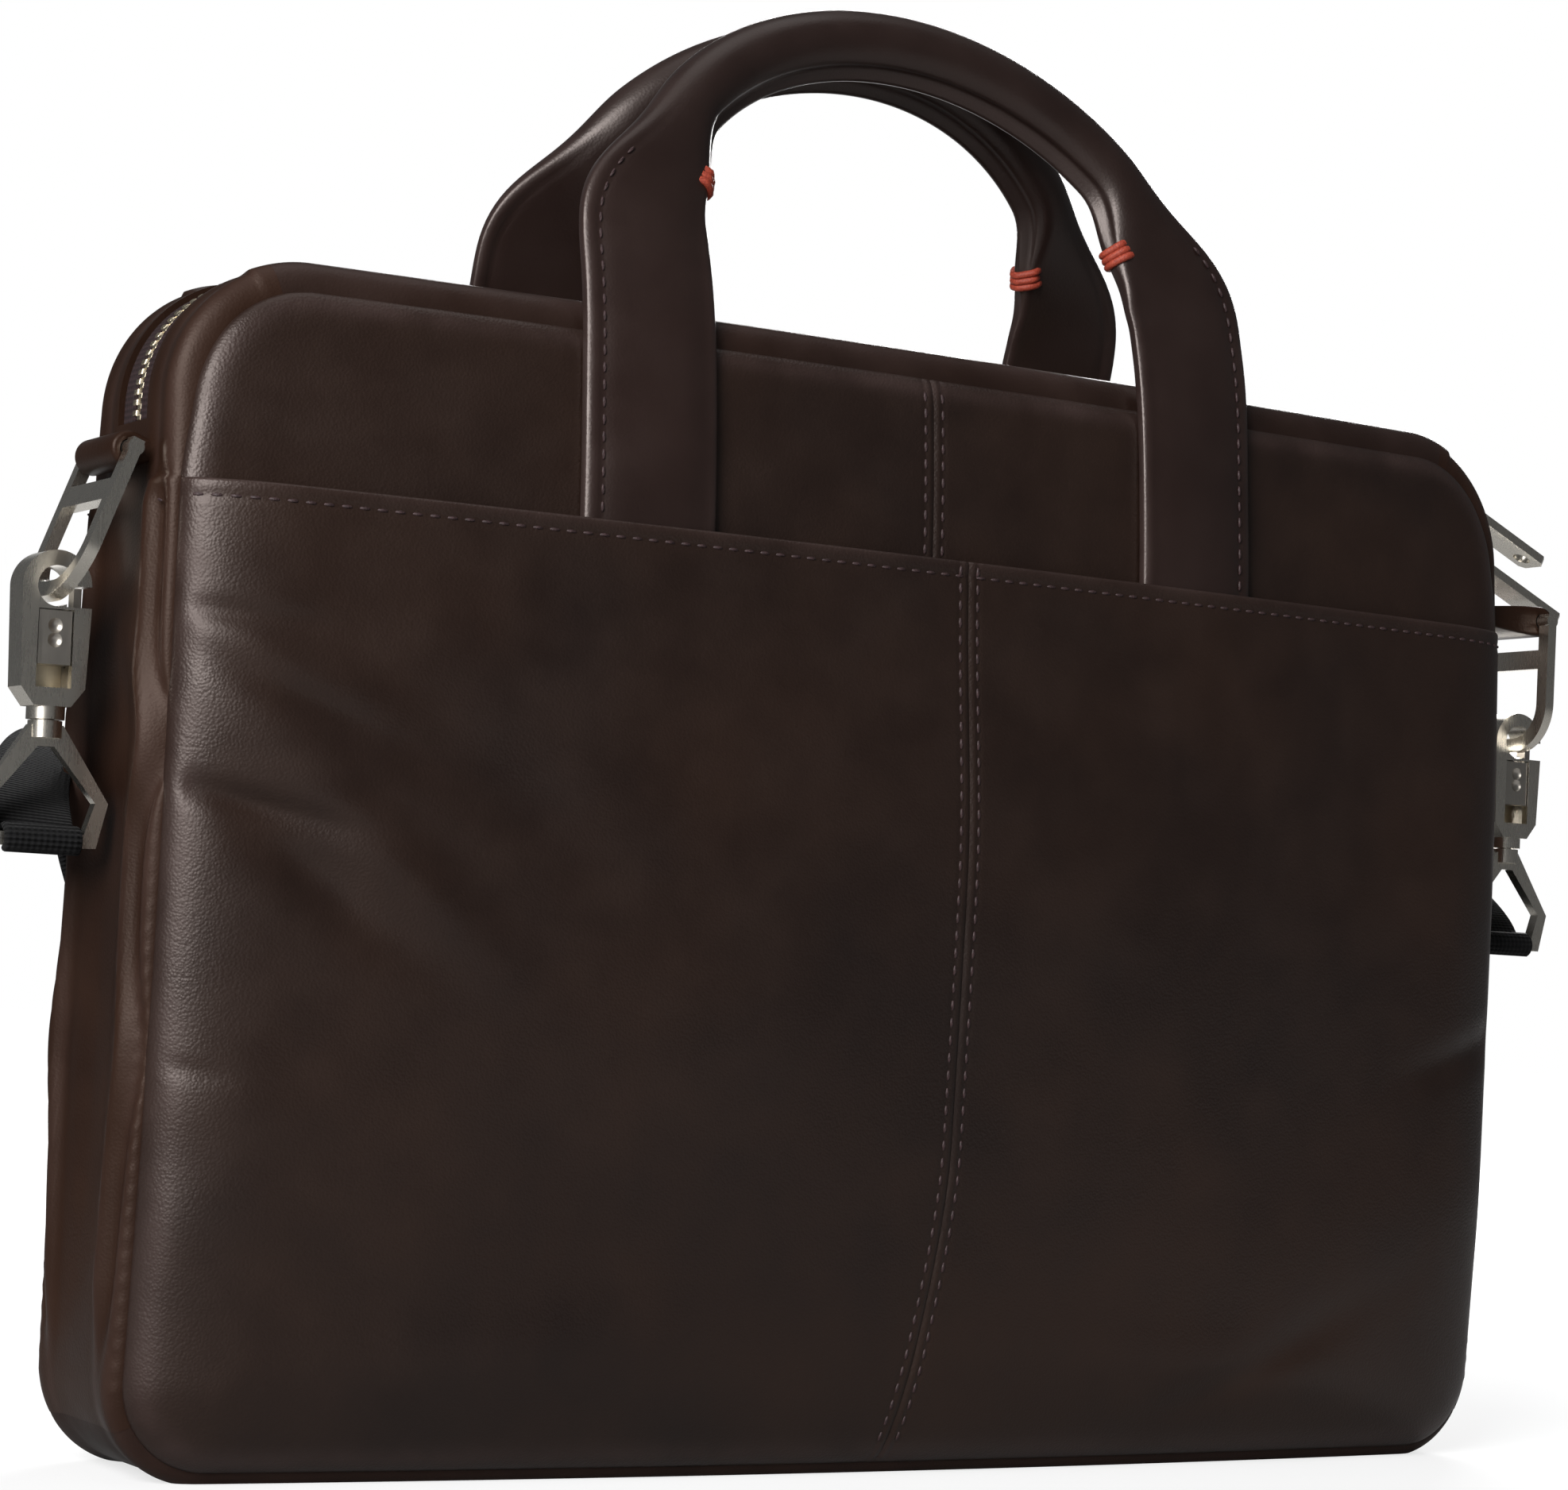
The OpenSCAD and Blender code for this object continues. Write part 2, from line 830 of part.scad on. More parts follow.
module webbing() {
    steps = 96;
    skin_over([for (k = [0 : steps]) web_ring(k / steps)]);
}

// Metal slide round the webbing at its lowest point.
module slide() {
    slide_x = 11;
    wall = 2.2;
    gap_w = web_w + 2 * run;
    gap_t = web_t + 2 * run;
    translate([0, web_y, web_low_z])
        difference() {
            cube([slide_x, gap_t + 2 * wall, gap_w + 2 * wall], center = true);
            cube([2 * slide_x, gap_t, gap_w], center = true);
        }
}

leather = [0.30, 0.18, 0.15];
dark_leather = [0.22, 0.13, 0.11];
nickel = [0.55, 0.53, 0.50];
brass = [0.72, 0.58, 0.30];
cloth = [0.12, 0.11, 0.11];

module front_panel() {
    color(leather) main_panel();
}
module front_yoke_left() {
    color(leather) yoke(-big / 2, -fit / 2);
}
module front_yoke_right() {
    color(leather) yoke(fit / 2, big / 2);
}
module front_pocket_left() {
    color(leather) pocket(-big / 2, -fit / 2);
}
module front_pocket_right() {
    color(leather) pocket(fit / 2, big / 2);
}
module rear_panel() {
    color(leather) mirror([0, 1, 0]) main_panel();
}
module rear_yoke() {
    color(leather) mirror([0, 1, 0]) yoke(-big / 2, big / 2);
}
module rear_pocket() {
    color(leather) mirror([0, 1, 0]) pocket(-big / 2, big / 2);
}
module gusset_left() {
    color(leather) gusset(-1);
}
module gusset_right() {
    color(leather) gusset(1);
}
module base_panel() {
    color(dark_leather) base_band();
}
module base_board() {
    color(cloth) board();
}
module lining() {
    color(cloth) lining_bag();
}
module zip_strip_front() {
    color(leather) top_strip();
}
module zip_strip_rear() {
    color(leather) mirror([0, 1, 0]) top_strip();
}
module zip_tape_front() {
    color(cloth) lip_part() tape_row();
}
module zip_tape_rear() {
    color(cloth) mirror([0, 1, 0]) lip_part() tape_row();
}
module zip_teeth_front() {
    color(brass) lip_part() teeth_row();
}
module zip_teeth_rear() {
    color(brass) mirror([0, 1, 0]) lip_part() teeth_row();
}
module zip_end_left() {
    color(cloth) end_part(-1) tape_row();
}
module zip_end_right() {
    color(cloth) end_part(1) tape_row();
}
module end_teeth_left() {
    color(brass) end_part(-1) teeth_row();
}
module end_teeth_right() {
    color(brass) end_part(1) teeth_row();
}
module slider_a() {
    color(nickel) slider(slider_a_at);
}
module slider_b() {
    color(nickel) slider(slider_b_at);
}
module pull_a() {
    color(nickel) pull(slider_a_at, pull_a_swing);
}
module pull_b() {
    color(nickel) pull(slider_b_at, pull_b_swing);
}
module front_anchors() {
    color(dark_leather) anchors();
}
module rear_anchors() {
    color(dark_leather) mirror([0, 1, 0]) anchors();
}
module front_handle() {
    color(leather) handle();
}
module rear_handle() {
    color(leather) mirror([0, 1, 0]) handle();
}
module front_tacks() {
    color([0.7, 0.1, 0.1]) tacks();
}
module rear_tacks() {
    color([0.7, 0.1, 0.1]) mirror([0, 1, 0]) tacks();
}
module loop_left() {
    color(leather) loop(left_bar_x, bar_z, left_reach, -1);
}
module loop_right() {
    color(leather) loop(right_bar_x, bar_z, right_reach, 1);
}
module ring_left() {
    color(nickel) ring(left_bar_x, bar_z, left_swing, -1);
}
module ring_right() {
    color(nickel) ring(right_bar_x, bar_z, right_swing, 1);
}
module hook_left() {
    color(nickel) at_eye(left_eye, left_lean) hook();
}
module hook_right() {
    color(nickel) at_eye(right_eye, 0) hook();
}
module gate_left() {
    color(nickel) at_eye(left_eye, left_lean) gate();
}
module gate_right() {
    color(nickel) at_eye(right_eye, 0) gate();
}
module track_left() {
    color(brass) at_eye(left_eye, left_lean) track();
}
module track_right() {
    color(brass) at_eye(right_eye, 0) track();
}
module frame_left() {
    color(nickel) at_eye(left_eye, left_lean) strap_frame();
}
module frame_right() {
    color(nickel) at_eye(right_eye, 0) strap_frame();
}
module strap_web() {
    color(cloth) webbing();
}
module strap_slide() {
    color(nickel) slide();
}

front_panel();
front_yoke_left();
front_yoke_right();
front_pocket_left();
front_pocket_right();
rear_panel();
rear_yoke();
rear_pocket();
gusset_left();
gusset_right();
base_panel();
base_board();
lining();
zip_strip_front();
zip_strip_rear();
zip_tape_front();
zip_tape_rear();
zip_teeth_front();
zip_teeth_rear();
zip_end_left();
zip_end_right();
end_teeth_left();
end_teeth_right();
slider_a();
slider_b();
pull_a();
pull_b();
front_anchors();
rear_anchors();
front_handle();
rear_handle();
front_tacks();
rear_tacks();
loop_left();
loop_right();
ring_left();
ring_right();
hook_left();
hook_right();
gate_left();
gate_right();
track_left();
track_right();
frame_left();
frame_right();
strap_web();
strap_slide();
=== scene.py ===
"""Looks of a leather briefcase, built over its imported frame."""
import logging
import math
from dataclasses import dataclass, field
from enum import Enum

import bmesh
import bpy
import numpy as np
from mathutils import Euler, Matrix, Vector


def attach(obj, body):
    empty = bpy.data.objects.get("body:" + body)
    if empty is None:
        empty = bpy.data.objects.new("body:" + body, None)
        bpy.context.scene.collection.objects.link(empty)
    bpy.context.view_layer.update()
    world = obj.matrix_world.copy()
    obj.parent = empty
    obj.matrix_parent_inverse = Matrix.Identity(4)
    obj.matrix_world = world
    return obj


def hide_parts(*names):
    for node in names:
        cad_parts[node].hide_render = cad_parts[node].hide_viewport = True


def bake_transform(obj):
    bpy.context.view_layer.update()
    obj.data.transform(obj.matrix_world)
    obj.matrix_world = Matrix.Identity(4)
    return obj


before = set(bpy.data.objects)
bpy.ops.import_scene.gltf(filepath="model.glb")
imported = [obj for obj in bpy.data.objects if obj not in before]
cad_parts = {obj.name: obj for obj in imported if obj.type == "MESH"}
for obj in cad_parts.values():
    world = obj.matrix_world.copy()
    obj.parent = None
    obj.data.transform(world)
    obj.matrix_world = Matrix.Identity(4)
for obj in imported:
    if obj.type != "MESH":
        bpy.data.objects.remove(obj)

LOG = logging.getLogger("briefcase")
MM = 0.001
WELD = 1e-5
SLIVER = 1e-7
SHARP = math.radians(58)
Array = np.ndarray
Colour = tuple[float, float, float, float]
Point = tuple[float, float, float]


def stacked(*parts: Array | float) -> Array:
    """Points from their coordinates, or faces from their corner numbers, all spread to one shape."""
    return np.stack(np.broadcast_arrays(*parts), axis=-1)


def smooth_step(value: Array) -> Array:
    """Rises from 0 to 1 with level ends while the value goes from 0 to 1."""
    t = np.clip(value, 0.0, 1.0)
    return t * t * (3 - 2 * t)


def bell(value: Array, middle: Array | float, width: float) -> Array:
    """Bell curve: 1 at its middle, and about a third at one width from it."""
    return np.exp(-((value - middle) / width) ** 2)


def run_of(points: Array) -> Array:
    """Way along a line of points, from 0 at its start: the sum of the legs so far."""
    return np.concatenate([[0.0], np.cumsum(np.linalg.norm(np.diff(points, axis=0), axis=1))])


def unit(ways: Array) -> Array:
    """Directions of length 1."""
    return ways / np.linalg.norm(ways, axis=1, keepdims=True)


@dataclass
class Patch:
    """Part of a mesh, in millimetres, with one finish.

    Attributes:
        points: corner positions, one row each.
        faces: rows of four corner numbers.
        finish: number of the finish on the piece.
        edge: share of the lighter edge colour at each corner, 0 to 1: partly worn leather, partly a painted highlight.
        uv: place of each corner on the unrolled surface, in metres.
    """

    points: Array
    faces: Array
    finish: int = 0
    edge: Array | None = None
    uv: Array | None = None


def outward(points: Array, faces: Array) -> Array:
    """Faces of a closed skin, all turned round if the volume that they enclose comes out negative."""
    a, b, c, d = (points[faces[:, k]] for k in range(4))
    middle = (a + b + c + d) / 4 - points.mean(axis=0)
    return faces if (middle * np.cross(c - a, d - b)).sum() > 0 else faces[:, ::-1]


def grid_faces(rows: int, cols: int, wrap: bool = False) -> Array:
    """Four-sided faces over a grid of points stored row by row.

    Args:
        rows: number of rows.
        cols: number of points in a row.
        wrap: whether the last column joins the first.

    Returns:
        Corner numbers, one face to a row.
    """
    r, c = np.meshgrid(np.arange(rows - 1), np.arange(cols if wrap else cols - 1), indexing="ij")
    a, b = r * cols + c, r * cols + (c + 1) % cols
    return stacked(a, b, b + cols, a + cols).reshape(-1, 4)


def shell(outer: Array, inner: Array, finish: int = 0, lining: int = 0, edge: Array | None = None,
          uv: Array | None = None) -> list[Patch]:
    """Closed sheet between two grids of the same shape, with its four rims.

    Args:
        outer: outer grid, rows by columns by 3.
        inner: inner grid.
        finish: finish number of the outer side and the rims.
        lining: finish number of the inner side.
        edge: share of the lighter edge colour (worn leather and painted highlight) over the outer grid.
        uv: unrolled place over the outer grid.

    Returns:
        The patches of the sheet.
    """
    rows, cols = outer.shape[:2]
    count = rows * cols
    both = np.concatenate([outer.reshape(-1, 3), inner.reshape(-1, 3)])
    wear_and_highlight = np.zeros(2 * count) if edge is None else np.tile(edge.reshape(-1), 2)
    place = None if uv is None else np.tile(uv.reshape(-1, 2), (2, 1))
    number = np.arange(count).reshape(rows, cols)
    loop = np.concatenate([number[0, :-1], number[:-1, -1], number[-1, :0:-1], number[:0:-1, 0]])
    after = np.roll(loop, -1)
    rim = stacked(loop, loop + count, after + count, after)
    front = grid_faces(rows, cols)
    faces = outward(both, np.concatenate([front, rim, front[:, ::-1] + count]))
    if lining == finish:
        return [Patch(both, faces, finish, wear_and_highlight, place)]
    split = len(front) + len(rim)
    return [Patch(both, faces[:split], finish, wear_and_highlight, place), Patch(both, faces[split:], lining, wear_and_highlight, place)]


def tube(rings: Array, finish: int = 0, edge: Array | None = None, uv: Array | None = None) -> list[Patch]:
    """Closed skin over rings of points, with fans over both ends.

    Args:
        rings: number of rings by points in a ring by 3.
        finish: finish number.
        edge: share of the lighter edge colour (worn leather and painted highlight) over the rings.
        uv: unrolled place over the rings.

    Returns:
        The patches of the skin.
    """
    rows, cols = rings.shape[:2]
    ends = rings[[0, -1]].mean(axis=1)
    points = np.concatenate([rings.reshape(-1, 3), ends])
    k = np.arange(cols)
    n = (k + 1) % cols
    low = stacked(rows * cols, n, k, k)
    base = (rows - 1) * cols
    high = stacked(rows * cols + 1, base + k, base + n, base + n)
    faces = outward(points, np.concatenate([grid_faces(rows, cols, wrap=True), low, high]))
    wear_and_highlight = None if edge is None else np.concatenate([edge.reshape(-1), [0.0, 0.0]])
    place = None
    if uv is not None:
        place = np.concatenate([uv.reshape(-1, 2), uv[[0, -1], 0]])
    return [Patch(points, faces, finish, wear_and_highlight, place)]


def repeated(points: Array, faces: Array, finish: int = 0) -> Patch:
    """Many like bodies in one patch.

    Args:
        points: points of all bodies, with the number of the body first.
        faces: faces of one body.
        finish: finish number.

    Returns:
        The patch.
    """
    flat = points.reshape(-1, 3)
    starts = np.arange(len(points)) * (len(flat) // len(points))
    return Patch(flat, outward(flat, (faces[None] + starts[:, None, None]).reshape(-1, 4)), finish)


def stitches(at: Array, along: Array, out: Array, length: float, width: float, finish: int) -> Patch:
    """Row of thread stitches: each is a slim spindle half sunk in the leather.

    Args:
        at: middle of each stitch.
        along: direction of each stitch.
        out: outward direction of the leather at each stitch.
        length: length of a stitch.
        width: thickness of the thread.
        finish: finish number.

    Returns:
        One patch with all stitches.
    """
    share = np.array([-1.0, -0.72, 0.0, 0.72, 1.0])
    swell = np.array([0.12, 0.8, 1.0, 0.8, 0.12])[:, None]
    dive = 0.35
    turn = np.linspace(0, 2 * np.pi, 6, endpoint=False)
    along = unit(along)
    out = unit(out - along * (out * along).sum(axis=1, keepdims=True))
    side = np.cross(along, out)
    ring_side = swell * np.cos(turn) * width / 2
    ring_out = swell * np.sin(turn) * width / 2 - (1 - swell) * width * dive
    points = (at[:, None, None] + along[:, None, None] * (share * length / 2)[None, :, None, None]
              + side[:, None, None] * ring_side[None, :, :, None] + out[:, None, None] * ring_out[None, :, :, None])
    caps = np.array([[3, 2, 1, 0], [5, 4, 3, 0], [24, 25, 26, 27], [24, 27, 28, 29]])
    return repeated(points, np.concatenate([grid_faces(len(share), len(turn), wrap=True), caps]), finish)


def resample(path: Array, step: float, start: float = 0.0) -> tuple[Array, Array]:
    """Even points along a line of points, with the directions there.

    Args:
        path: points of the line.
        step: distance between the new points.
        start: distance of the first new point from the beginning.

    Returns:
        The new points and the unit directions.
    """
    run, reach = run_of(path), 0.4
    want = np.arange(start, run[-1], step)
    points, ahead, back = (np.stack([np.interp(np.clip(want + shift, 0, run[-1]), run, path[:, k]) for k in range(3)],
                                    axis=-1) for shift in (0.0, reach, -reach))
    return points, unit(ahead - back)


def make_piece(name: str, patches: list[Patch], finishes: list[bpy.types.Material],
               smooth: bool = True) -> bpy.types.Object:
    """Puts patches in one mesh object at the origin.

    Args:
        name: name of the piece.
        patches: its patches, in millimetres.
        finishes: materials by finish number.
        smooth: whether the faces are shaded smoothly.

    Returns:
        The new object.
    """
    offset, points, faces, kinds, wear_and_highlight, place = 0, [], [], [], [], []
    for patch in patches:
        points.append(patch.points)
        faces.append(patch.faces + offset)
        kinds.append(np.full(len(patch.faces), patch.finish))
        wear_and_highlight.append(np.zeros(len(patch.points)) if patch.edge is None else patch.edge)
        place.append(np.zeros((len(patch.points), 2)) if patch.uv is None else patch.uv)
        offset += len(patch.points)
    mesh = bpy.data.meshes.new(name)
    corners_of, kind = np.concatenate(faces), np.concatenate(kinds)
    late, early = corners_of[:, 2] == corners_of[:, 3], corners_of[:, 0] == corners_of[:, 1]
    square = ~(late | early)
    three = np.concatenate([corners_of[late][:, :3], corners_of[early][:, 1:]])
    kind = np.concatenate([kind[square], kind[late], kind[early]])
    mesh.from_pydata((np.concatenate(points) * MM).tolist(), [], corners_of[square].tolist() + three.tolist())
    for material in finishes:
        mesh.materials.append(material)
    mesh.polygons.foreach_set("material_index", kind.astype(np.int32))
    # Mask of the lighter edge colour: partly worn leather, partly a painted highlight.
    attribute = mesh.attributes.new("wear_and_highlight", "FLOAT", "POINT")
    attribute.data.foreach_set("value", np.concatenate(wear_and_highlight).astype(np.float32))
    corners = np.empty(len(mesh.loops), dtype=np.int32)
    mesh.loops.foreach_get("vertex_index", corners)
    layer = mesh.uv_layers.new(name="unrolled")
    layer.data.foreach_set("uv", np.concatenate(place)[corners].astype(np.float32).reshape(-1))
    work = bmesh.new()
    work.from_mesh(mesh)
    bmesh.ops.remove_doubles(work, verts=work.verts, dist=WELD)
    loose = [v for v in work.verts if not v.link_faces]
    bmesh.ops.delete(work, geom=loose, context="VERTS")
    bmesh.ops.dissolve_degenerate(work, dist=SLIVER, edges=work.edges)
    work.to_mesh(mesh)
    work.free()
    mesh.polygons.foreach_set("use_smooth", np.full(len(mesh.polygons), smooth))
    mesh.validate()
    mesh.set_sharp_from_angle(angle=SHARP)
    piece = bpy.data.objects.new(name, mesh)
    bpy.context.scene.collection.objects.link(piece)
    LOG.info("%s: %d faces", name, len(mesh.polygons))
    return piece


class Tree:
    """Short hand for making and joining the nodes of one node tree."""

    def __init__(self, tree: bpy.types.NodeTree) -> None:
        """Keeps the tree and empties it."""
        self.tree = tree
        tree.nodes.clear()

    def add(self, kind: str, **values: object) -> bpy.types.Node:
        """Adds a node.

        Args:
            kind: Blender's name of the node.
            values: properties of the node, or inputs by name with "in_" before it and "_" for each space.

        Returns:
            The node.
        """
        node = self.tree.nodes.new(kind)
        for key, value in values.items():
            if key.startswith("in_"):
                node.inputs[key[3:].replace("_", " ")].default_value = value
            else:
                setattr(node, key, value)
        return node

    def join(self, source: bpy.types.NodeSocket, target: bpy.types.NodeSocket) -> None:
        """Joins an output to an input."""
        self.tree.links.new(source, target)

    def math(self, operation: str, a: object, b: object = None) -> bpy.types.NodeSocket:
        """Adds a sum of two sockets or numbers.

        Args:
            operation: Blender's name of the operation.
            a: first socket or number.
            b: second socket or number.

        Returns:
            The result.
        """
        node = self.add("ShaderNodeMath", operation=operation)
        for place, value in enumerate((a, b)):
            if isinstance(value, bpy.types.NodeSocket):
                self.join(value, node.inputs[place])
            elif value is not None:
                node.inputs[place].default_value = value
        return node.outputs[0]

    def blend(self, share: object, low: object, high: object) -> bpy.types.NodeSocket:
        """Mixes two colours by a share.

        Args:
            share: socket or number from 0 to 1.
            low: colour or socket at 0.
            high: colour or socket at 1.

        Returns:
            The mixed colour.
        """
        node = self.add("ShaderNodeMix", data_type="RGBA")
        for place, value in ((0, share), (6, low), (7, high)):
            if isinstance(value, bpy.types.NodeSocket):
                self.join(value, node.inputs[place])
            else:
                node.inputs[place].default_value = value
        return node.outputs[2]

    def span(self, value: bpy.types.NodeSocket, low: float, high: float, to_low: float = 0.0,
             to_high: float = 1.0) -> bpy.types.NodeSocket:
        """Maps a value from one range to another, with both ends held.

        Args:
            value: socket to map.
            low: lower end of its range.
            high: upper end of its range.
            to_low: result at the lower end.
            to_high: result at the upper end.

        Returns:
            The mapped value.
        """
        node = self.add("ShaderNodeMapRange")
        for place, number in ((1, low), (2, high), (3, to_low), (4, to_high)):
            node.inputs[place].default_value = number
        self.join(value, node.inputs[0])
        return node.outputs[0]

    def effect(self, group: bpy.types.NodeTree, place: bpy.types.NodeSocket, **values: object) -> bpy.types.Node:
        """Adds a shader group at a place.

        Args:
            group: the group.
            place: socket of the place that it follows.
            values: inputs by name, as in add.

        Returns:
            The node of the group.
        """
        node = self.add("ShaderNodeGroup", node_tree=group, **values)
        self.join(place, node.inputs["Place"])
        return node

    def bump(self, shader: bpy.types.Node, height: bpy.types.NodeSocket, strength: float, distance: float) -> None:
        """Lets a height tilt the surface of a shader.

        Args:
            shader: the shader.
            height: socket of the height.
            strength: share of the tilt.
            distance: height of 1, in metres.
        """
        node = self.add("ShaderNodeBump", in_Strength=strength, in_Distance=distance)
        self.join(height, node.inputs["Height"])
        self.join(node.outputs[0], shader.inputs["Normal"])


def new_group(name: str, inputs: dict[str, tuple[str, object]],
              outputs: dict[str, str]) -> tuple[Tree, bpy.types.Node, bpy.types.Node]:
    """Makes a shader node group with named sockets.

    Args:
        name: name of the group.
        inputs: kind and default of each input.
        outputs: kind of each output.

    Returns:
        The tree, its input node and its output node.
    """
    group = bpy.data.node_groups.new(name, "ShaderNodeTree")
    for label, (kind, value) in inputs.items():
        socket = group.interface.new_socket(label, in_out="INPUT", socket_type=kind)
        if value is not None:
            socket.default_value = value
    for label, kind in outputs.items():
        group.interface.new_socket(label, in_out="OUTPUT", socket_type=kind)
    tree = Tree(group)
    return tree, tree.add("NodeGroupInput"), tree.add("NodeGroupOutput")


class Effects:
    """Shader groups that several finishes share."""

    def __init__(self) -> None:
        """Builds each group once."""
        self.grain = self.make_grain()
        self.weave = self.make_weave()
        self.brush = self.make_brush()

    @staticmethod
    def make_grain() -> bpy.types.NodeTree:
        """Leather grain: small rounded cells, soft creases, and slow changes of tone."""
        tree, source, result = new_group(
            "leather_grain",
            {"Place": ("NodeSocketVector", None), "Cells": ("NodeSocketFloat", 900.0),
             "Creases": ("NodeSocketFloat", 120.0)},
            {"Height": "NodeSocketFloat", "Tone": "NodeSocketFloat", "Dull": "NodeSocketFloat"})
        cells = tree.add("ShaderNodeTexVoronoi", feature="SMOOTH_F1", in_Smoothness=0.6)
        creases = tree.add("ShaderNodeTexNoise", in_Detail=4.0, in_Roughness=0.62, in_Distortion=0.6)
        slow = tree.add("ShaderNodeTexNoise", in_Scale=11.0, in_Detail=3.0, in_Roughness=0.55)
        middle = tree.add("ShaderNodeTexNoise", in_Scale=55.0, in_Detail=3.0)
        for node in (cells, creases, slow, middle):
            tree.join(source.outputs["Place"], node.inputs["Vector"])
        tree.join(source.outputs["Cells"], cells.inputs["Scale"])
        tree.join(source.outputs["Creases"], creases.inputs["Scale"])
        low = tree.math("MULTIPLY", cells.outputs["Distance"], -0.8)
        height = tree.math("ADD", low, tree.math("MULTIPLY", creases.outputs["Fac"], 0.27))
        tone = tree.math("ADD", tree.math("MULTIPLY", slow.outputs["Fac"], 0.72),
                         tree.math("MULTIPLY", middle.outputs["Fac"], 0.28))
        tree.join(height, result.inputs["Height"])
        tree.join(tree.span(tone, 0.34, 0.66), result.inputs["Tone"])
        tree.join(middle.outputs["Fac"], result.inputs["Dull"])
        return tree.tree

    @staticmethod
    def make_weave() -> bpy.types.NodeTree:
        """Plain weave: threads along and across the unrolled surface."""
        tree, source, result = new_group(
            "cloth_weave",
            {"Place": ("NodeSocketVector", None), "Along": ("NodeSocketFloat", 900.0),
             "Across": ("NodeSocketFloat", 500.0)},
            {"Height": "NodeSocketFloat", "Tone": "NodeSocketFloat"})
        parts = tree.add("ShaderNodeSeparateXYZ")
        tree.join(source.outputs["Place"], parts.inputs[0])
        first = tree.math("SINE", tree.math("MULTIPLY", parts.outputs[0], source.outputs["Along"]))
        second = tree.math("SINE", tree.math("MULTIPLY", parts.outputs[1], source.outputs["Across"]))
        height = tree.math("ADD", tree.math("MULTIPLY", first, 0.7), tree.math("MULTIPLY", second, 0.3))
        fluff = tree.add("ShaderNodeTexNoise", in_Scale=420.0, in_Detail=2.0)
        tree.join(source.outputs["Place"], fluff.inputs["Vector"])
        tone = tree.math("ADD", tree.span(height, -1.0, 1.0, 0.0, 0.6),
                         tree.math("MULTIPLY", fluff.outputs["Fac"], 0.4))
        tree.join(height, result.inputs["Height"])
        tree.join(tone, result.inputs["Tone"])
        return tree.tree

    @staticmethod
    def make_brush() -> bpy.types.NodeTree:
        """Brushed metal: fine lines drawn out along one way, with a few dull patches."""
        tree, source, result = new_group(
            "brushed_lines", {"Place": ("NodeSocketVector", None), "Stretch": ("NodeSocketVector", (1.0, 1.0, 0.04))},
            {"Height": "NodeSocketFloat", "Dull": "NodeSocketFloat"})
        drawn = tree.add("ShaderNodeVectorMath", operation="MULTIPLY")
        tree.join(source.outputs["Place"], drawn.inputs[0])
        tree.join(source.outputs["Stretch"], drawn.inputs[1])
        lines = tree.add("ShaderNodeTexNoise", in_Scale=2600.0, in_Detail=3.0, in_Roughness=0.6)
        patches = tree.add("ShaderNodeTexNoise", in_Scale=140.0, in_Detail=3.0)
        tree.join(drawn.outputs[0], lines.inputs["Vector"])
        tree.join(source.outputs["Place"], patches.inputs["Vector"])
        dull = tree.math("ADD", tree.math("MULTIPLY", lines.outputs["Fac"], 0.6),
                         tree.math("MULTIPLY", patches.outputs["Fac"], 0.4))
        tree.join(lines.outputs["Fac"], result.inputs["Height"])
        tree.join(dull, result.inputs["Dull"])
        return tree.tree


def start_material(name: str, **values: object) -> tuple[bpy.types.Material, Tree, bpy.types.Node]:
    """Makes a material with its shader and output.

    Args:
        name: name of the material.
        values: inputs of the shader by name, as in Tree.add.

    Returns:
        The material, its tree and its shader.
    """
    material = bpy.data.materials.new(name)
    material.use_nodes = True
    tree = Tree(material.node_tree)
    shader = tree.add("ShaderNodeBsdfPrincipled", **values)
    output = tree.add("ShaderNodeOutputMaterial")
    tree.join(shader.outputs[0], output.inputs[0])
    return material, tree, shader


@dataclass(frozen=True)
class LeatherFinish:
    """Soft grained leather, with a lighter colour on edges and ridges that is partly worn leather and partly a painted
    highlight.
    """

    name: str
    dark: Colour
    light: Colour
    # Lighter colour of edges and ridges: partly worn leather, partly a painted highlight.
    rub_and_highlight: Colour
    cells: float = 1500.0
    creases: float = 520.0
    relief: float = 0.16
    gloss: tuple[float, float] = (0.34, 0.47)
    shine: float = 0.5
    tint: Colour = (1.0, 0.88, 0.83, 1)

    def make(self, effects: Effects) -> bpy.types.Material:
        """Builds the material from the shared grain and the mesh's mask of lighter edges, which is partly worn leather
        and partly a painted highlight.
        """
        material, tree, shader = start_material(self.name, in_Specular_IOR_Level=self.shine,
                                                in_Specular_Tint=self.tint)
        place = tree.add("ShaderNodeTexCoord").outputs["Object"]
        grain = tree.effect(effects.grain, place, in_Cells=self.cells, in_Creases=self.creases)
        wear_and_highlight = tree.add("ShaderNodeAttribute", attribute_name="wear_and_highlight").outputs["Fac"]
        body = tree.blend(grain.outputs["Tone"], self.dark, self.light)
        # Lighter colour on edges and ridges, broken into patches: partly worn leather, partly a painted highlight.
        patchy_rub_highlight = tree.math("MULTIPLY", wear_and_highlight, tree.span(grain.outputs["Dull"], 0.3, 0.7, 0.35, 1.0))
        tree.join(tree.blend(patchy_rub_highlight, body, self.rub_and_highlight), shader.inputs["Base Color"])
        tree.join(tree.span(grain.outputs["Dull"], 0.3, 0.7, *self.gloss), shader.inputs["Roughness"])
        tree.bump(shader, grain.outputs["Height"], self.relief, 0.6 * MM)
        return material


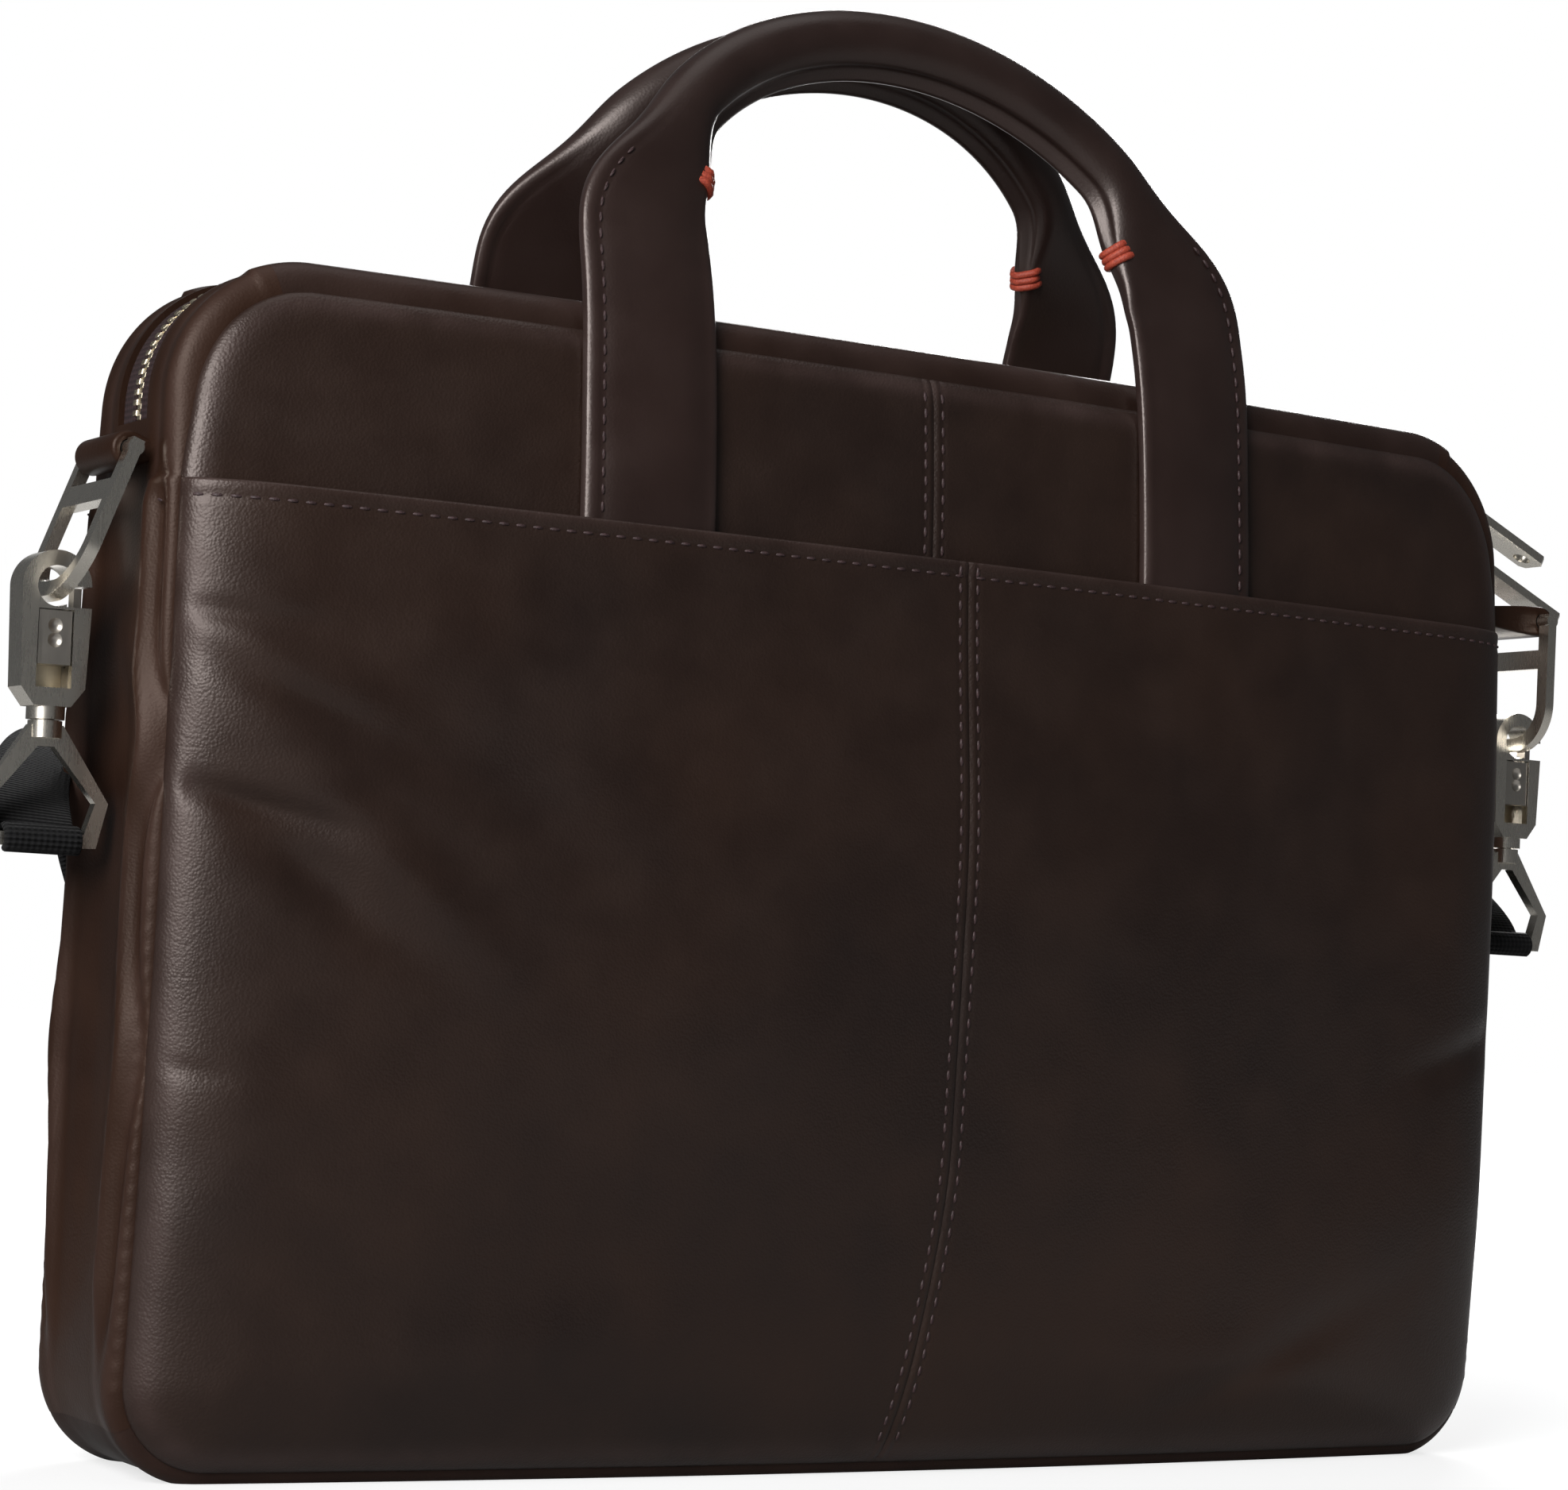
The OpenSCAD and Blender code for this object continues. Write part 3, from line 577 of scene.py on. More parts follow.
@dataclass(frozen=True)
class ClothFinish:
    """Woven cloth that follows the unrolled surface."""

    name: str
    dark: Colour
    light: Colour
    along: float
    across: float
    relief: float = 0.5
    roughness: float = 0.85
    shine: float = 0.15
    sheen: float = 0.03

    def make(self, effects: Effects) -> bpy.types.Material:
        """Builds the material from the shared weave."""
        material, tree, shader = start_material(self.name, in_Roughness=self.roughness,
                                                in_Specular_IOR_Level=self.shine, in_Sheen_Weight=self.sheen)
        place = tree.add("ShaderNodeUVMap", uv_map="unrolled").outputs[0]
        weave = tree.effect(effects.weave, place, in_Along=self.along, in_Across=self.across)
        tree.join(tree.blend(weave.outputs["Tone"], self.dark, self.light), shader.inputs["Base Color"])
        tree.bump(shader, weave.outputs["Height"], self.relief, 0.4 * MM)
        return material


@dataclass(frozen=True)
class MetalFinish:
    """Plated metal with fine brushed lines."""

    name: str
    bright: Colour
    dull: Colour
    gloss: tuple[float, float]
    stretch: Point = (1.0, 1.0, 0.05)
    relief: float = 0.03

    def make(self, effects: Effects) -> bpy.types.Material:
        """Builds the material from the shared brushed lines."""
        material, tree, shader = start_material(self.name, in_Metallic=1.0)
        place = tree.add("ShaderNodeTexCoord").outputs["Object"]
        brush = tree.effect(effects.brush, place, in_Stretch=self.stretch)
        tree.join(tree.blend(brush.outputs["Dull"], self.bright, self.dull), shader.inputs["Base Color"])
        tree.join(tree.span(brush.outputs["Dull"], 0.3, 0.7, *self.gloss), shader.inputs["Roughness"])
        tree.bump(shader, brush.outputs["Height"], self.relief, 0.1 * MM)
        return material


@dataclass(frozen=True)
class ThreadFinish:
    """Waxed sewing thread."""

    name: str
    dark: Colour
    light: Colour
    roughness: float = 0.6
    stretch: Point = (1.0, 1.0, 0.6)
    relief: float = 0.4

    def make(self, effects: Effects) -> bpy.types.Material:
        """Builds the material with the brushed lines as the lay of the fibres."""
        material, tree, shader = start_material(self.name, in_Roughness=self.roughness)
        place = tree.add("ShaderNodeTexCoord").outputs["Object"]
        height = tree.effect(effects.brush, place, in_Stretch=self.stretch).outputs["Height"]
        tree.join(tree.blend(tree.span(height, 0.35, 0.65), self.dark, self.light), shader.inputs["Base Color"])
        tree.bump(shader, height, self.relief, 0.2 * MM)
        return material


class Finish(Enum):
    """Finishes of the briefcase."""

    # The third colour of each leather is the lighter one of its edges and ridges: partly worn leather, partly a painted
    # highlight.
    LEATHER = LeatherFinish("brown_leather", (0.0112, 0.0062, 0.005, 1), (0.0222, 0.0108, 0.007, 1),
                            (0.046, 0.028, 0.025, 1))
    GUSSET = LeatherFinish("gusset_leather", (0.014, 0.0058, 0.0035, 1), (0.028, 0.012, 0.0065, 1),
                           (0.042, 0.023, 0.018, 1), relief=0.1, gloss=(0.4, 0.52), shine=0.24,
                           tint=(1.0, 0.8, 0.7, 1))
    STRIP = LeatherFinish("strip_leather", (0.0115, 0.0058, 0.0043, 1), (0.0215, 0.0104, 0.0068, 1),
                          (0.042, 0.025, 0.022, 1), relief=0.1, shine=0.32)
    HANDLE = LeatherFinish("handle_leather", (0.0135, 0.0071, 0.0059, 1), (0.0225, 0.0117, 0.0096, 1),
                           (0.05, 0.031, 0.028, 1), relief=0.07, gloss=(0.3, 0.42), shine=0.62)
    BASE = LeatherFinish("base_leather", (0.013, 0.0065, 0.005, 1), (0.023, 0.0115, 0.009, 1),
                         (0.042, 0.023, 0.018, 1), relief=0.1, gloss=(0.45, 0.6), shine=0.24, tint=(1.0, 0.8, 0.7, 1))
    THREAD = ThreadFinish("seam_thread", (0.021, 0.0102, 0.0106, 1), (0.056, 0.028, 0.029, 1))
    RED = ThreadFinish("tack_thread", (0.24, 0.024, 0.011, 1), (0.44, 0.07, 0.034, 1))
    TAPE = ClothFinish("zip_tape_cloth", (0.014, 0.0078, 0.0082, 1), (0.04, 0.023, 0.0245, 1), 4200.0, 5200.0)
    WEB = ClothFinish("ribbed_webbing", (0.003, 0.003, 0.0033, 1), (0.014, 0.014, 0.0145, 1), 6400.0, 4200.0,
                      relief=0.8)
    LINING = ClothFinish("lining_cloth", (0.02, 0.017, 0.016, 1), (0.04, 0.035, 0.033, 1), 5200.0, 5200.0)
    NICKEL = MetalFinish("brushed_nickel", (0.82, 0.77, 0.69, 1), (0.73, 0.69, 0.61, 1), (0.24, 0.32))
    DARK_NICKEL = MetalFinish("gate_nickel", (0.6, 0.56, 0.5, 1), (0.45, 0.42, 0.38, 1), (0.3, 0.46))
    BRASS = MetalFinish("dull_brass", (0.76, 0.67, 0.5, 1), (0.56, 0.48, 0.35, 1), (0.28, 0.46))
    BOARD = ClothFinish("base_board", (0.02, 0.02, 0.02, 1), (0.04, 0.04, 0.04, 1), 900.0, 900.0)


class Finishes:
    """The materials of all finishes, made once."""

    def __init__(self) -> None:
        """Builds the shared effects and the materials."""
        effects = Effects()
        self.made = {finish: finish.value.make(effects) for finish in Finish}

    def of(self, *finishes: Finish) -> list[bpy.types.Material]:
        """Materials of some finishes, in order."""
        return [self.made[finish] for finish in finishes]


class Half(Enum):
    """Half of the bag, by the sign of an axis."""

    @property
    def word(self) -> str:
        """Plain name."""
        return self.name.lower()


class Side(Half):
    """Left or right, by the sign of X."""

    LEFT = -1
    RIGHT = 1


class Face(Half):
    """Front or rear, by the sign of Y."""

    FRONT = -1
    REAR = 1

    @property
    def lip(self) -> str:
        """Name of the body of the lip on this face."""
        return f"{self.word}_lip"


@dataclass
class BagForm:
    """Sizes of the bag in millimetres and the curves that all its leather follows."""

    half_w: float = 202.0
    height: float = 285.0
    half_d: float = 38.0
    crown_r: float = 2150.0
    top_r: float = 34.0
    base_r: float = 24.0
    seam_side: float = 2.6
    seam_top: float = 6.8
    seam_deep: float = 1.6
    pocket_z: float = 231.0
    pocket_out: float = 8.8
    fold_z: float = 232.0
    lip_half: float = 178.5
    blend_end: float = 104.0
    zip_end_z: float = 246.0
    leather_t: float = 2.2
    upper_proud: tuple[float, float] = (2.4, 1.2)
    roll_start: float = 226.0
    roll_height: float = 40.0
    # Dents of the soft leather: x, z, half sizes, tilt in degrees, depth. The first ones lie at the left seam.
    dents: list[tuple[float, float, float, float, float, float]] = field(default_factory=lambda: [
        (-186, 200, 16, 2.6, -4, -1.3), (-178, 190, 28, 6, -16, 1.3), (-168, 180, 28, 4.5, -24, -1.9),
        (-160, 171, 36, 9, -28, 1.4), (-178, 156, 20, 2.9, -12, -2.5), (-167, 142, 27, 6.5, -38, -2.6),
        (-148, 147, 36, 7.5, -40, 2.5), (-190, 95, 9, 2.2, -10, -0.6), (-182, 86, 22, 10, -10, 0.9),
        (-184, 62, 24, 12, 8, 0.9), (-120, 165, 44, 11, -32, -1.2), (150, 60, 60, 26, 20, 1.8),
        (60, 150, 70, 30, -15, 1.4), (-70, 110, 80, 34, 10, 1.5), (178, 150, 18, 30, 0, 1.8),
        (184, 112, 20, 5, 18, -1.6), (-110, 30, 46, 12, 8, 1.4), (110, 24, 50, 10, -6, 1.4),
        (120, 30, 34, 5, 24, -1.4)])

    def sag(self, x: Array | float, z: Array) -> Array:
        """Depth that a panel's crown has lost at a place: squared distance from its middle over twice its radius."""
        return (x ** 2 + (z - self.height / 2) ** 2) / (2 * self.crown_r)

    def half_width(self, z: Array, inset: Array | float = 0.0) -> Array:
        """Half width of the outline at a height: the side less the part that the corner circle cuts off.

        Args:
            z: heights.
            inset: even margin by which the outline is set in.

        Returns:
            Half widths.
        """
        half, low, high = self.half_w - inset, inset, self.height - inset
        top, base = self.top_r - inset, self.base_r - inset
        up = np.clip(z - (high - top), 0, top)
        down = np.clip(low + base - z, 0, base)
        return (half - (top - np.sqrt(np.maximum(top ** 2 - up ** 2, 0)))
                - (base - np.sqrt(np.maximum(base ** 2 - down ** 2, 0))))

    def edge_distance(self, x: Array, z: Array, inset: Array | float = 0.0) -> Array:
        """Distance inside the outline: rounded rectangle with larger corners at the top.

        Args:
            x: places along the width.
            z: heights.
            inset: margin by which the outline is set in.

        Returns:
            Distances, positive inside.
        """
        mid = self.height / 2
        radius = np.where(z > mid, self.top_r, self.base_r) - inset
        over_x = np.abs(x) - (self.half_w - inset - radius)
        over_z = np.abs(z - mid) - (mid - inset - radius)
        outside = np.hypot(np.maximum(over_x, 0), np.maximum(over_z, 0))
        return radius - outside - np.minimum(np.maximum(over_x, over_z), 0)

    def seam_in(self, z: Array) -> Array:
        """Margin between the outline and the panel seam: it widens at the top, where the edge roll stands up."""
        return self.seam_side + (self.seam_top - self.seam_side) * smooth_step((z - self.roll_start) / self.roll_height)

    def upper_out(self, z: Array) -> Array:
        """Distance of the leather above a pocket in front of the crown: it goes back towards the top."""
        low, high = self.upper_proud
        return low + (high - low) * smooth_step((z - self.pocket_z) / (self.height - self.pocket_z))

    def dent(self, x: Array, z: Array, mirrored: bool = False) -> Array:
        """Soft dents of the leather: a sum of tilted bell curves and slow waves.

        Args:
            x: places along the width.
            z: heights.
            mirrored: whether left and right change places, for the rear.

        Returns:
            Heights to add, in millimetres.
        """
        x = -x if mirrored else x
        total = 0.28 * np.sin(x / 31.0 + 1.3) * np.sin(z / 37.0 + 0.4) + 0.2 * np.sin(x / 17.0 + z / 23.0)
        for cx, cz, wide, tall, tilt, depth in self.dents:
            a = math.radians(tilt)
            u = (x - cx) * math.cos(a) + (z - cz) * math.sin(a)
            v = (z - cz) * math.cos(a) - (x - cx) * math.sin(a)
            total = total + depth * np.exp(-(u / wide) ** 2 - (v / tall) ** 2)
        return total

    def seam_y(self, x: Array | float, z: Array | float) -> Array | float:
        """Distance of the seam between panel and gusset from the middle plane."""
        return self.half_d - self.sag(x, z) - self.seam_deep

    def pillow(self, x: Array, z: Array, proud: Array | float, round_w: Array | float) -> Array:
        """Distance of a panel's surface from the middle plane.

        It leaves the seam square and turns over in a quarter of an ellipse to the crowned, dented face.

        Args:
            x: places along the width.
            z: heights.
            proud: distance of the face in front of the crown.
            round_w: width of the rounding at the edge.

        Returns:
            Distances.
        """
        seam = self.seam_y(x, z)
        top = self.half_d - self.sag(x, z) + proud
        t = np.clip(self.edge_distance(x, z, self.seam_in(z)) / round_w, 0, 1)
        return seam + (top - seam) * np.sqrt(1 - (1 - t) ** 2)

    def rim_point(self, t: Array) -> tuple[Array, Array, Array, Array]:
        """Outline by the way along it, from the middle of the base up the right side to the middle of the top.

        Args:
            t: way in millimetres.

        Returns:
            Place x and z, and outward direction x and z.
        """
        flat = self.half_w - self.base_r
        a = t - flat
        b = a - self.base_r * np.pi / 2
        side = self.height - self.base_r - self.top_r
        c = b - side
        d = c - self.top_r * np.pi / 2
        low = np.clip(a / self.base_r, 0, np.pi / 2)
        high = np.clip(c / self.top_r, 0, np.pi / 2)
        x = np.clip(t, 0, flat) + self.base_r * np.sin(low) - self.top_r * (1 - np.cos(high)) - np.maximum(d, 0)
        z = self.base_r * (1 - np.cos(low)) + np.clip(b, 0, side) + self.top_r * np.sin(high)
        nx = np.sin(low) * np.where(c > 0, np.cos(high), 1.0)
        nz = np.where(c > 0, np.sin(high), -np.cos(low))
        return x, z, nx, nz

    def way_to(self, x: float | None = None, z: float | None = None) -> float:
        """Way along the outline to a place on the upper corner or the side.

        Args:
            x: place along the width on the upper corner, or None.
            z: height on the base corner or the side, or None.

        Returns:
            The way in millimetres.
        """
        start = self.half_w - self.base_r
        corner = start + self.base_r * math.pi / 2
        side = self.height - self.base_r - self.top_r
        if x is not None:
            return corner + side + self.top_r * math.acos((x - self.half_w + self.top_r) / self.top_r)
        if z < self.base_r:
            return start + self.base_r * math.acos(1 - z / self.base_r)
        return corner + z - self.base_r

    @property
    def way_top(self) -> float:
        """Way along the outline to the middle of the top."""
        return (self.half_w - self.base_r + self.half_w - self.top_r + self.height - self.base_r - self.top_r
                + (self.base_r + self.top_r) * math.pi / 2)


@dataclass
class Leather:
    """Base of the leather pieces: the form, the finishes and ways to fix a piece."""

    form: BagForm
    finishes: Finishes

    @staticmethod
    def on_bag(piece: bpy.types.Object, *nodes: str) -> None:
        """Fixes a piece to the bag in place of some nodes."""
        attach(piece, "bag")
        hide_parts(*nodes)

    def fold(self, piece: bpy.types.Object, face: Face, side: Side) -> None:
        """Bakes the piece's placement into its mesh.

        Args:
            piece: the piece, with no parent.
            face: front or rear; not used.
            side: left or right half; not used.
        """
        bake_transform(piece)


@dataclass
class Panels(Leather):
    """Front and rear leather: pockets, upper parts and the sheets behind the pockets."""

    stitch_len: float = 2.9
    stitch_gap: float = 4.4
    thread: float = 0.9
    hem: float = 4.0
    seam_half: float = 2.6
    upper_low: float = 224.0
    pocket_round: tuple[float, float] = (27.0, 34.0)
    upper_round: float = 9.0
    upper_turn: float = 262.0
    thread_up: float = 0.05
    base_turn: float = 30.0
    pocket_rows: tuple[tuple[float, int], ...] = ((80.0, 16), (208.0, 80), (220.0, 5))
    sheet_t: float = 1.9
    hem_end: float = 198.0
    hem_gap: float = 1.5
    # Bow of the pocket's middle seam: X at its foot, then each move with its lowest height and its length.
    bow_low: float = -2.0
    bow_moves: tuple[tuple[float, float, float], ...] = ((11.5, -10.0, 95.0), (-2.5, 150.0, 81.0))

    def columns(self) -> Array:
        """Shares of the half width: close together at the middle seam and at the side."""
        near, far, half = 12.0, 176.0, self.form.half_w
        middle = np.linspace(0, near, 21)
        face = np.linspace(near, far, 58)[1:]
        side = far + (half - far) * np.sin(np.linspace(0, np.pi / 2, 22))[1:]
        return np.concatenate([middle, face, side]) / half

    def bow(self, z: Array) -> Array:
        """X of the pocket's middle seam: the slack leather takes it to the right, most of all below the middle."""
        return self.bow_low + sum(move * smooth_step((z - start) / tall) for move, start, tall in self.bow_moves)

    def middle_seam(self, x: Array) -> Array:
        """Relief of the middle seam: a groove, a welt on each side of it, and a line sunk by the stitches."""
        x = np.abs(x)
        return 0.12 * bell(x, 1.5, 1.1) - 0.42 * bell(x, 0.0, 0.7) - 0.25 * bell(x, self.seam_half, 0.8)

    def pocket_depth(self, x: Array, z: Array, seam: bool, mirrored: bool) -> Array:
        """Outer surface of a pocket: pillow, with a sunk hem line and, where asked, the middle seam.

        Args:
            x: places along the width.
            z: heights.
            seam: whether there is a seam at the middle.
            mirrored: whether the dents change sides.

        Returns:
            Distances from the middle plane.
        """
        form = self.form
        high, low = self.pocket_round
        round_w = high + (low - high) * smooth_step(1 - z / 75.0)
        face = form.pillow(x, z, form.pocket_out, round_w)
        calm = smooth_step(form.edge_distance(x, z, form.seam_in(z)) / 5.5) * smooth_step((form.pocket_z - z) / 26.0)
        face = face + form.dent(x, z, mirrored) * calm - 0.35 * bell(z, form.pocket_z - self.hem, 1.1)
        return face + self.middle_seam(x - self.bow(z)) if seam else face

    def upper_depth(self, x: Array, z: Array, seam: bool) -> Array:
        """Outer surface of the part above a pocket.

        Args:
            x: places along the width.
            z: heights.
            seam: whether there is a seam at the middle.

        Returns:
            Distances from the middle plane.
        """
        form = self.form
        face = form.pillow(x, z, form.upper_out(z), self.upper_round)
        tall = form.height - self.upper_low
        face = face + 0.35 * np.sin(x / 29.0 + 0.7) * np.sin((z - self.upper_low) / tall * np.pi)
        return face + self.middle_seam(x) if seam else face

    def grid(self, heights: Array, share: Array) -> tuple[Array, Array]:
        """Grid inside the panel seam.

        Args:
            heights: heights of its rows.
            share: shares of the half width of its columns.

        Returns:
            Places along the width, and heights.
        """
        z = np.repeat(heights[:, None], len(share), axis=1)
        return share[None, :] * self.form.half_width(z, self.form.seam_in(z)), z

    def wear_and_highlight_of(self, x: Array, z: Array, width: float, strength: float) -> Array:
        """Lighter band along the outer edge of a panel: partly worn leather, partly a painted highlight."""
        edge = self.form.edge_distance(x, z, self.form.seam_in(z))
        return strength * bell(edge, width, width)

    def row_on(self, x: Array, depth: Array, z: Array, face: Face) -> Patch:
        """Stitches along a line on a face.

        Args:
            x: places along the width.
            depth: distances of the leather from the middle plane.
            z: heights.
            face: front or rear.

        Returns:
            The stitches.
        """
        path = stacked(x, face.value * (depth + self.thread_up), z)
        at, along = resample(path, self.stitch_gap, self.stitch_gap / 2)
        out = np.tile([0.0, face.value, 0.0], (len(at), 1))
        return stitches(at, along, out, self.stitch_len, self.thread, 1)

    def pocket(self, name: str, nodes: list[str], face: Face, sides: list[Side], seam: bool) -> None:
        """Pocket leather over a grid of heights and widths, with a folded mouth edge, a hem row and the seam row.

        Args:
            name: name of the piece.
            nodes: nodes that it stands for.
            face: front or rear.
            sides: halves that it covers.
            seam: whether it ends at a seam at the middle.
        """
        form, sign = self.form, face.value
        t, top = form.leather_t, form.pocket_z
        turn_z = top - t / 2
        rows = [form.seam_side + (self.base_turn - form.seam_side) * (1 - np.cos(np.linspace(0, np.pi / 2, 22)))]
        for stop, count in (*self.pocket_rows, (turn_z, 14)):
            rows.append(np.linspace(rows[-1][-1], stop, count)[1:])
        rise = np.concatenate(rows)
        turn = np.linspace(0, np.pi / 2, 6)[1:]
        lift = np.concatenate([np.zeros(len(rise)), t / 2 * (1 - np.cos(turn))])
        share = self.columns() * sides[0].value
        if len(sides) == 2:
            share = np.concatenate([share[:0:-1], -share])
        x, z = self.grid(np.concatenate([rise, turn_z + t / 2 * np.sin(turn)]), share)
        flat_z = np.minimum(z, turn_z)
        if seam:
            x = x + self.bow(flat_z) * (1 - np.abs(share))[None, :]
        depth = self.pocket_depth(x, flat_z, seam, face is Face.REAR)
        inner = np.minimum(depth - t, form.half_d - form.sag(x, flat_z) + form.pocket_out - t)
        inner = np.maximum(inner, form.seam_y(x, flat_z) - 0.4)
        outer_points = stacked(x, sign * (depth - lift[:, None]), z)
        inner_points = stacked(x, sign * (inner + lift[:, None]), z)
        # Lighter band at the seam edge and the folded mouth: partly worn leather, partly a painted highlight.
        wear_and_highlight = self.wear_and_highlight_of(x, z, 3.0, 0.75) + 0.55 * bell(z, top, 2.2)
        patches = shell(outer_points, inner_points, edge=np.clip(wear_and_highlight, 0, 1))
        middle = float(self.bow(top - self.hem))
        hem_x = np.linspace(-self.hem_end if Side.LEFT in sides else middle + self.hem_gap,
                            self.hem_end if Side.RIGHT in sides else middle - self.hem_gap, 200)
        hem_z = np.full_like(hem_x, top - self.hem)
        patches.append(self.row_on(hem_x, self.pocket_depth(hem_x, hem_z, seam, face is Face.REAR), hem_z, face))
        if seam:
            seam_z = np.linspace(8, top - self.hem_gap, 200)
            seam_x = sides[0].value * self.seam_half + self.bow(seam_z)
            patches.append(self.row_on(seam_x, self.pocket_depth(seam_x, seam_z, seam, False), seam_z, face))
        piece = make_piece(name, patches, self.finishes.of(Finish.LEATHER, Finish.THREAD))
        self.on_bag(piece, *nodes)

    def upper(self, face: Face, side: Side, nodes: list[str], seam: bool) -> None:
        """Half of the leather above a pocket, lined inside.

        Args:
            face: front or rear.
            side: left or right half.
            nodes: nodes that it stands for.
            seam: whether it ends at a seam at the middle.
        """
        form, sign = self.form, face.value
        high = form.height - form.seam_top
        turn = self.upper_turn
        rise = np.concatenate([np.linspace(self.upper_low, turn, 26),
                               turn + (high - turn) * np.sin(np.linspace(0, np.pi / 2, 30))[1:]])
        x, z = self.grid(rise, self.columns() * side.value)
        depth = self.upper_depth(x, z, seam)
        inner = np.minimum(depth - form.leather_t, np.maximum(form.seam_y(x, z) - 0.6, 0))
        outer_points = stacked(x, sign * depth, z)
        inner_points = stacked(x, sign * inner, z)
        # Lighter band at the seam edge: partly worn leather, partly a painted highlight.
        wear_and_highlight = self.wear_and_highlight_of(x, z, 2.6, 0.75)
        patches = shell(outer_points, inner_points, lining=2, edge=np.clip(wear_and_highlight, 0, 1),
                        uv=stacked(x, z) * MM)
        if seam:
            seam_z = np.linspace(form.pocket_z - self.hem, high - self.hem, 120)
            seam_x = np.full_like(seam_z, side.value * self.seam_half)
            patches.append(self.row_on(seam_x, self.upper_depth(seam_x, seam_z, seam), seam_z, face))
        finishes = self.finishes.of(Finish.LEATHER, Finish.THREAD, Finish.LINING)
        piece = make_piece(f"upper_{face.word}_{side.word}", patches, finishes)
        self.fold(piece, face, side)
        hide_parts(*nodes)

    def inner_sheet(self, face: Face) -> None:
        """Plain leather sheet behind a pocket.

        Args:
            face: front or rear.
        """
        form, sign = self.form, face.value
        share, z = np.meshgrid(np.linspace(-1, 1, 61), np.linspace(6, self.upper_low + 1, 40))
        x = share * form.half_width(z, form.seam_side + 2)
        depth = form.half_d - form.sag(x, z) - 0.4
        outer_points = stacked(x, sign * depth, z)
        inner_points = stacked(x, sign * (depth - self.sheet_t), z)
        patches = shell(outer_points, inner_points)
        piece = make_piece(f"{face.word}_panel_leather", patches, self.finishes.of(Finish.LEATHER))
        self.on_bag(piece, f"{face.word}_panel")

    def build(self) -> None:
        """Makes all panel pieces."""
        self.pocket("pocket_front_left", ["front_pocket_left"], Face.FRONT, [Side.LEFT], True)
        self.pocket("pocket_front_right", ["front_pocket_right"], Face.FRONT, [Side.RIGHT], True)
        self.pocket("pocket_rear", ["rear_pocket"], Face.REAR, [Side.LEFT, Side.RIGHT], False)
        for side in Side:
            self.upper(Face.FRONT, side, [f"front_yoke_{side.word}"], True)
            self.upper(Face.REAR, side, ["rear_yoke"], False)
        for face in Face:
            self.inner_sheet(face)


def cut_shell(outer: Array, inner: Array, edge: Array, keep: Array | None = None) -> Patch:
    """Closed sheet over part of a grid, with rims wherever a kept face has no neighbour.

    Args:
        outer: outer grid, rows by columns by 3.
        inner: inner grid.
        edge: share of the lighter edge colour (worn leather and painted highlight) over the grid.
        keep: kept faces, one fewer row and column than the grid, or None for all.

    Returns:
        The sheet.
    """
    rows, cols = outer.shape[:2]
    count = rows * cols
    faces = grid_faces(rows, cols)
    faces = faces if keep is None else faces[keep.reshape(-1)]
    sides = np.concatenate([faces[:, [k, (k + 1) % 4]] for k in range(4)])
    key = np.sort(sides, axis=1) @ np.array([count, 1])
    _, first, times = np.unique(key, return_index=True, return_counts=True)
    open_sides = sides[first[times == 1]]
    rim = np.concatenate([open_sides[:, ::-1], open_sides + count], axis=1)
    every = np.concatenate([faces, rim, faces[:, ::-1] + count])
    points = np.concatenate([outer.reshape(-1, 3), inner.reshape(-1, 3)])
    return Patch(points, outward(points, every), edge=np.tile(edge.reshape(-1), 2))


def ring_skin(points: Array) -> Patch:
    """Closed ring: a grid whose rows and columns both join end to end.

    Args:
        points: rows by columns by 3.

    Returns:
        The skin.
    """
    rows, cols = points.shape[:2]
    faces = grid_faces(rows + 1, cols, wrap=True) % (rows * cols)
    return Patch(points.reshape(-1, 3), outward(points.reshape(-1, 3), faces))


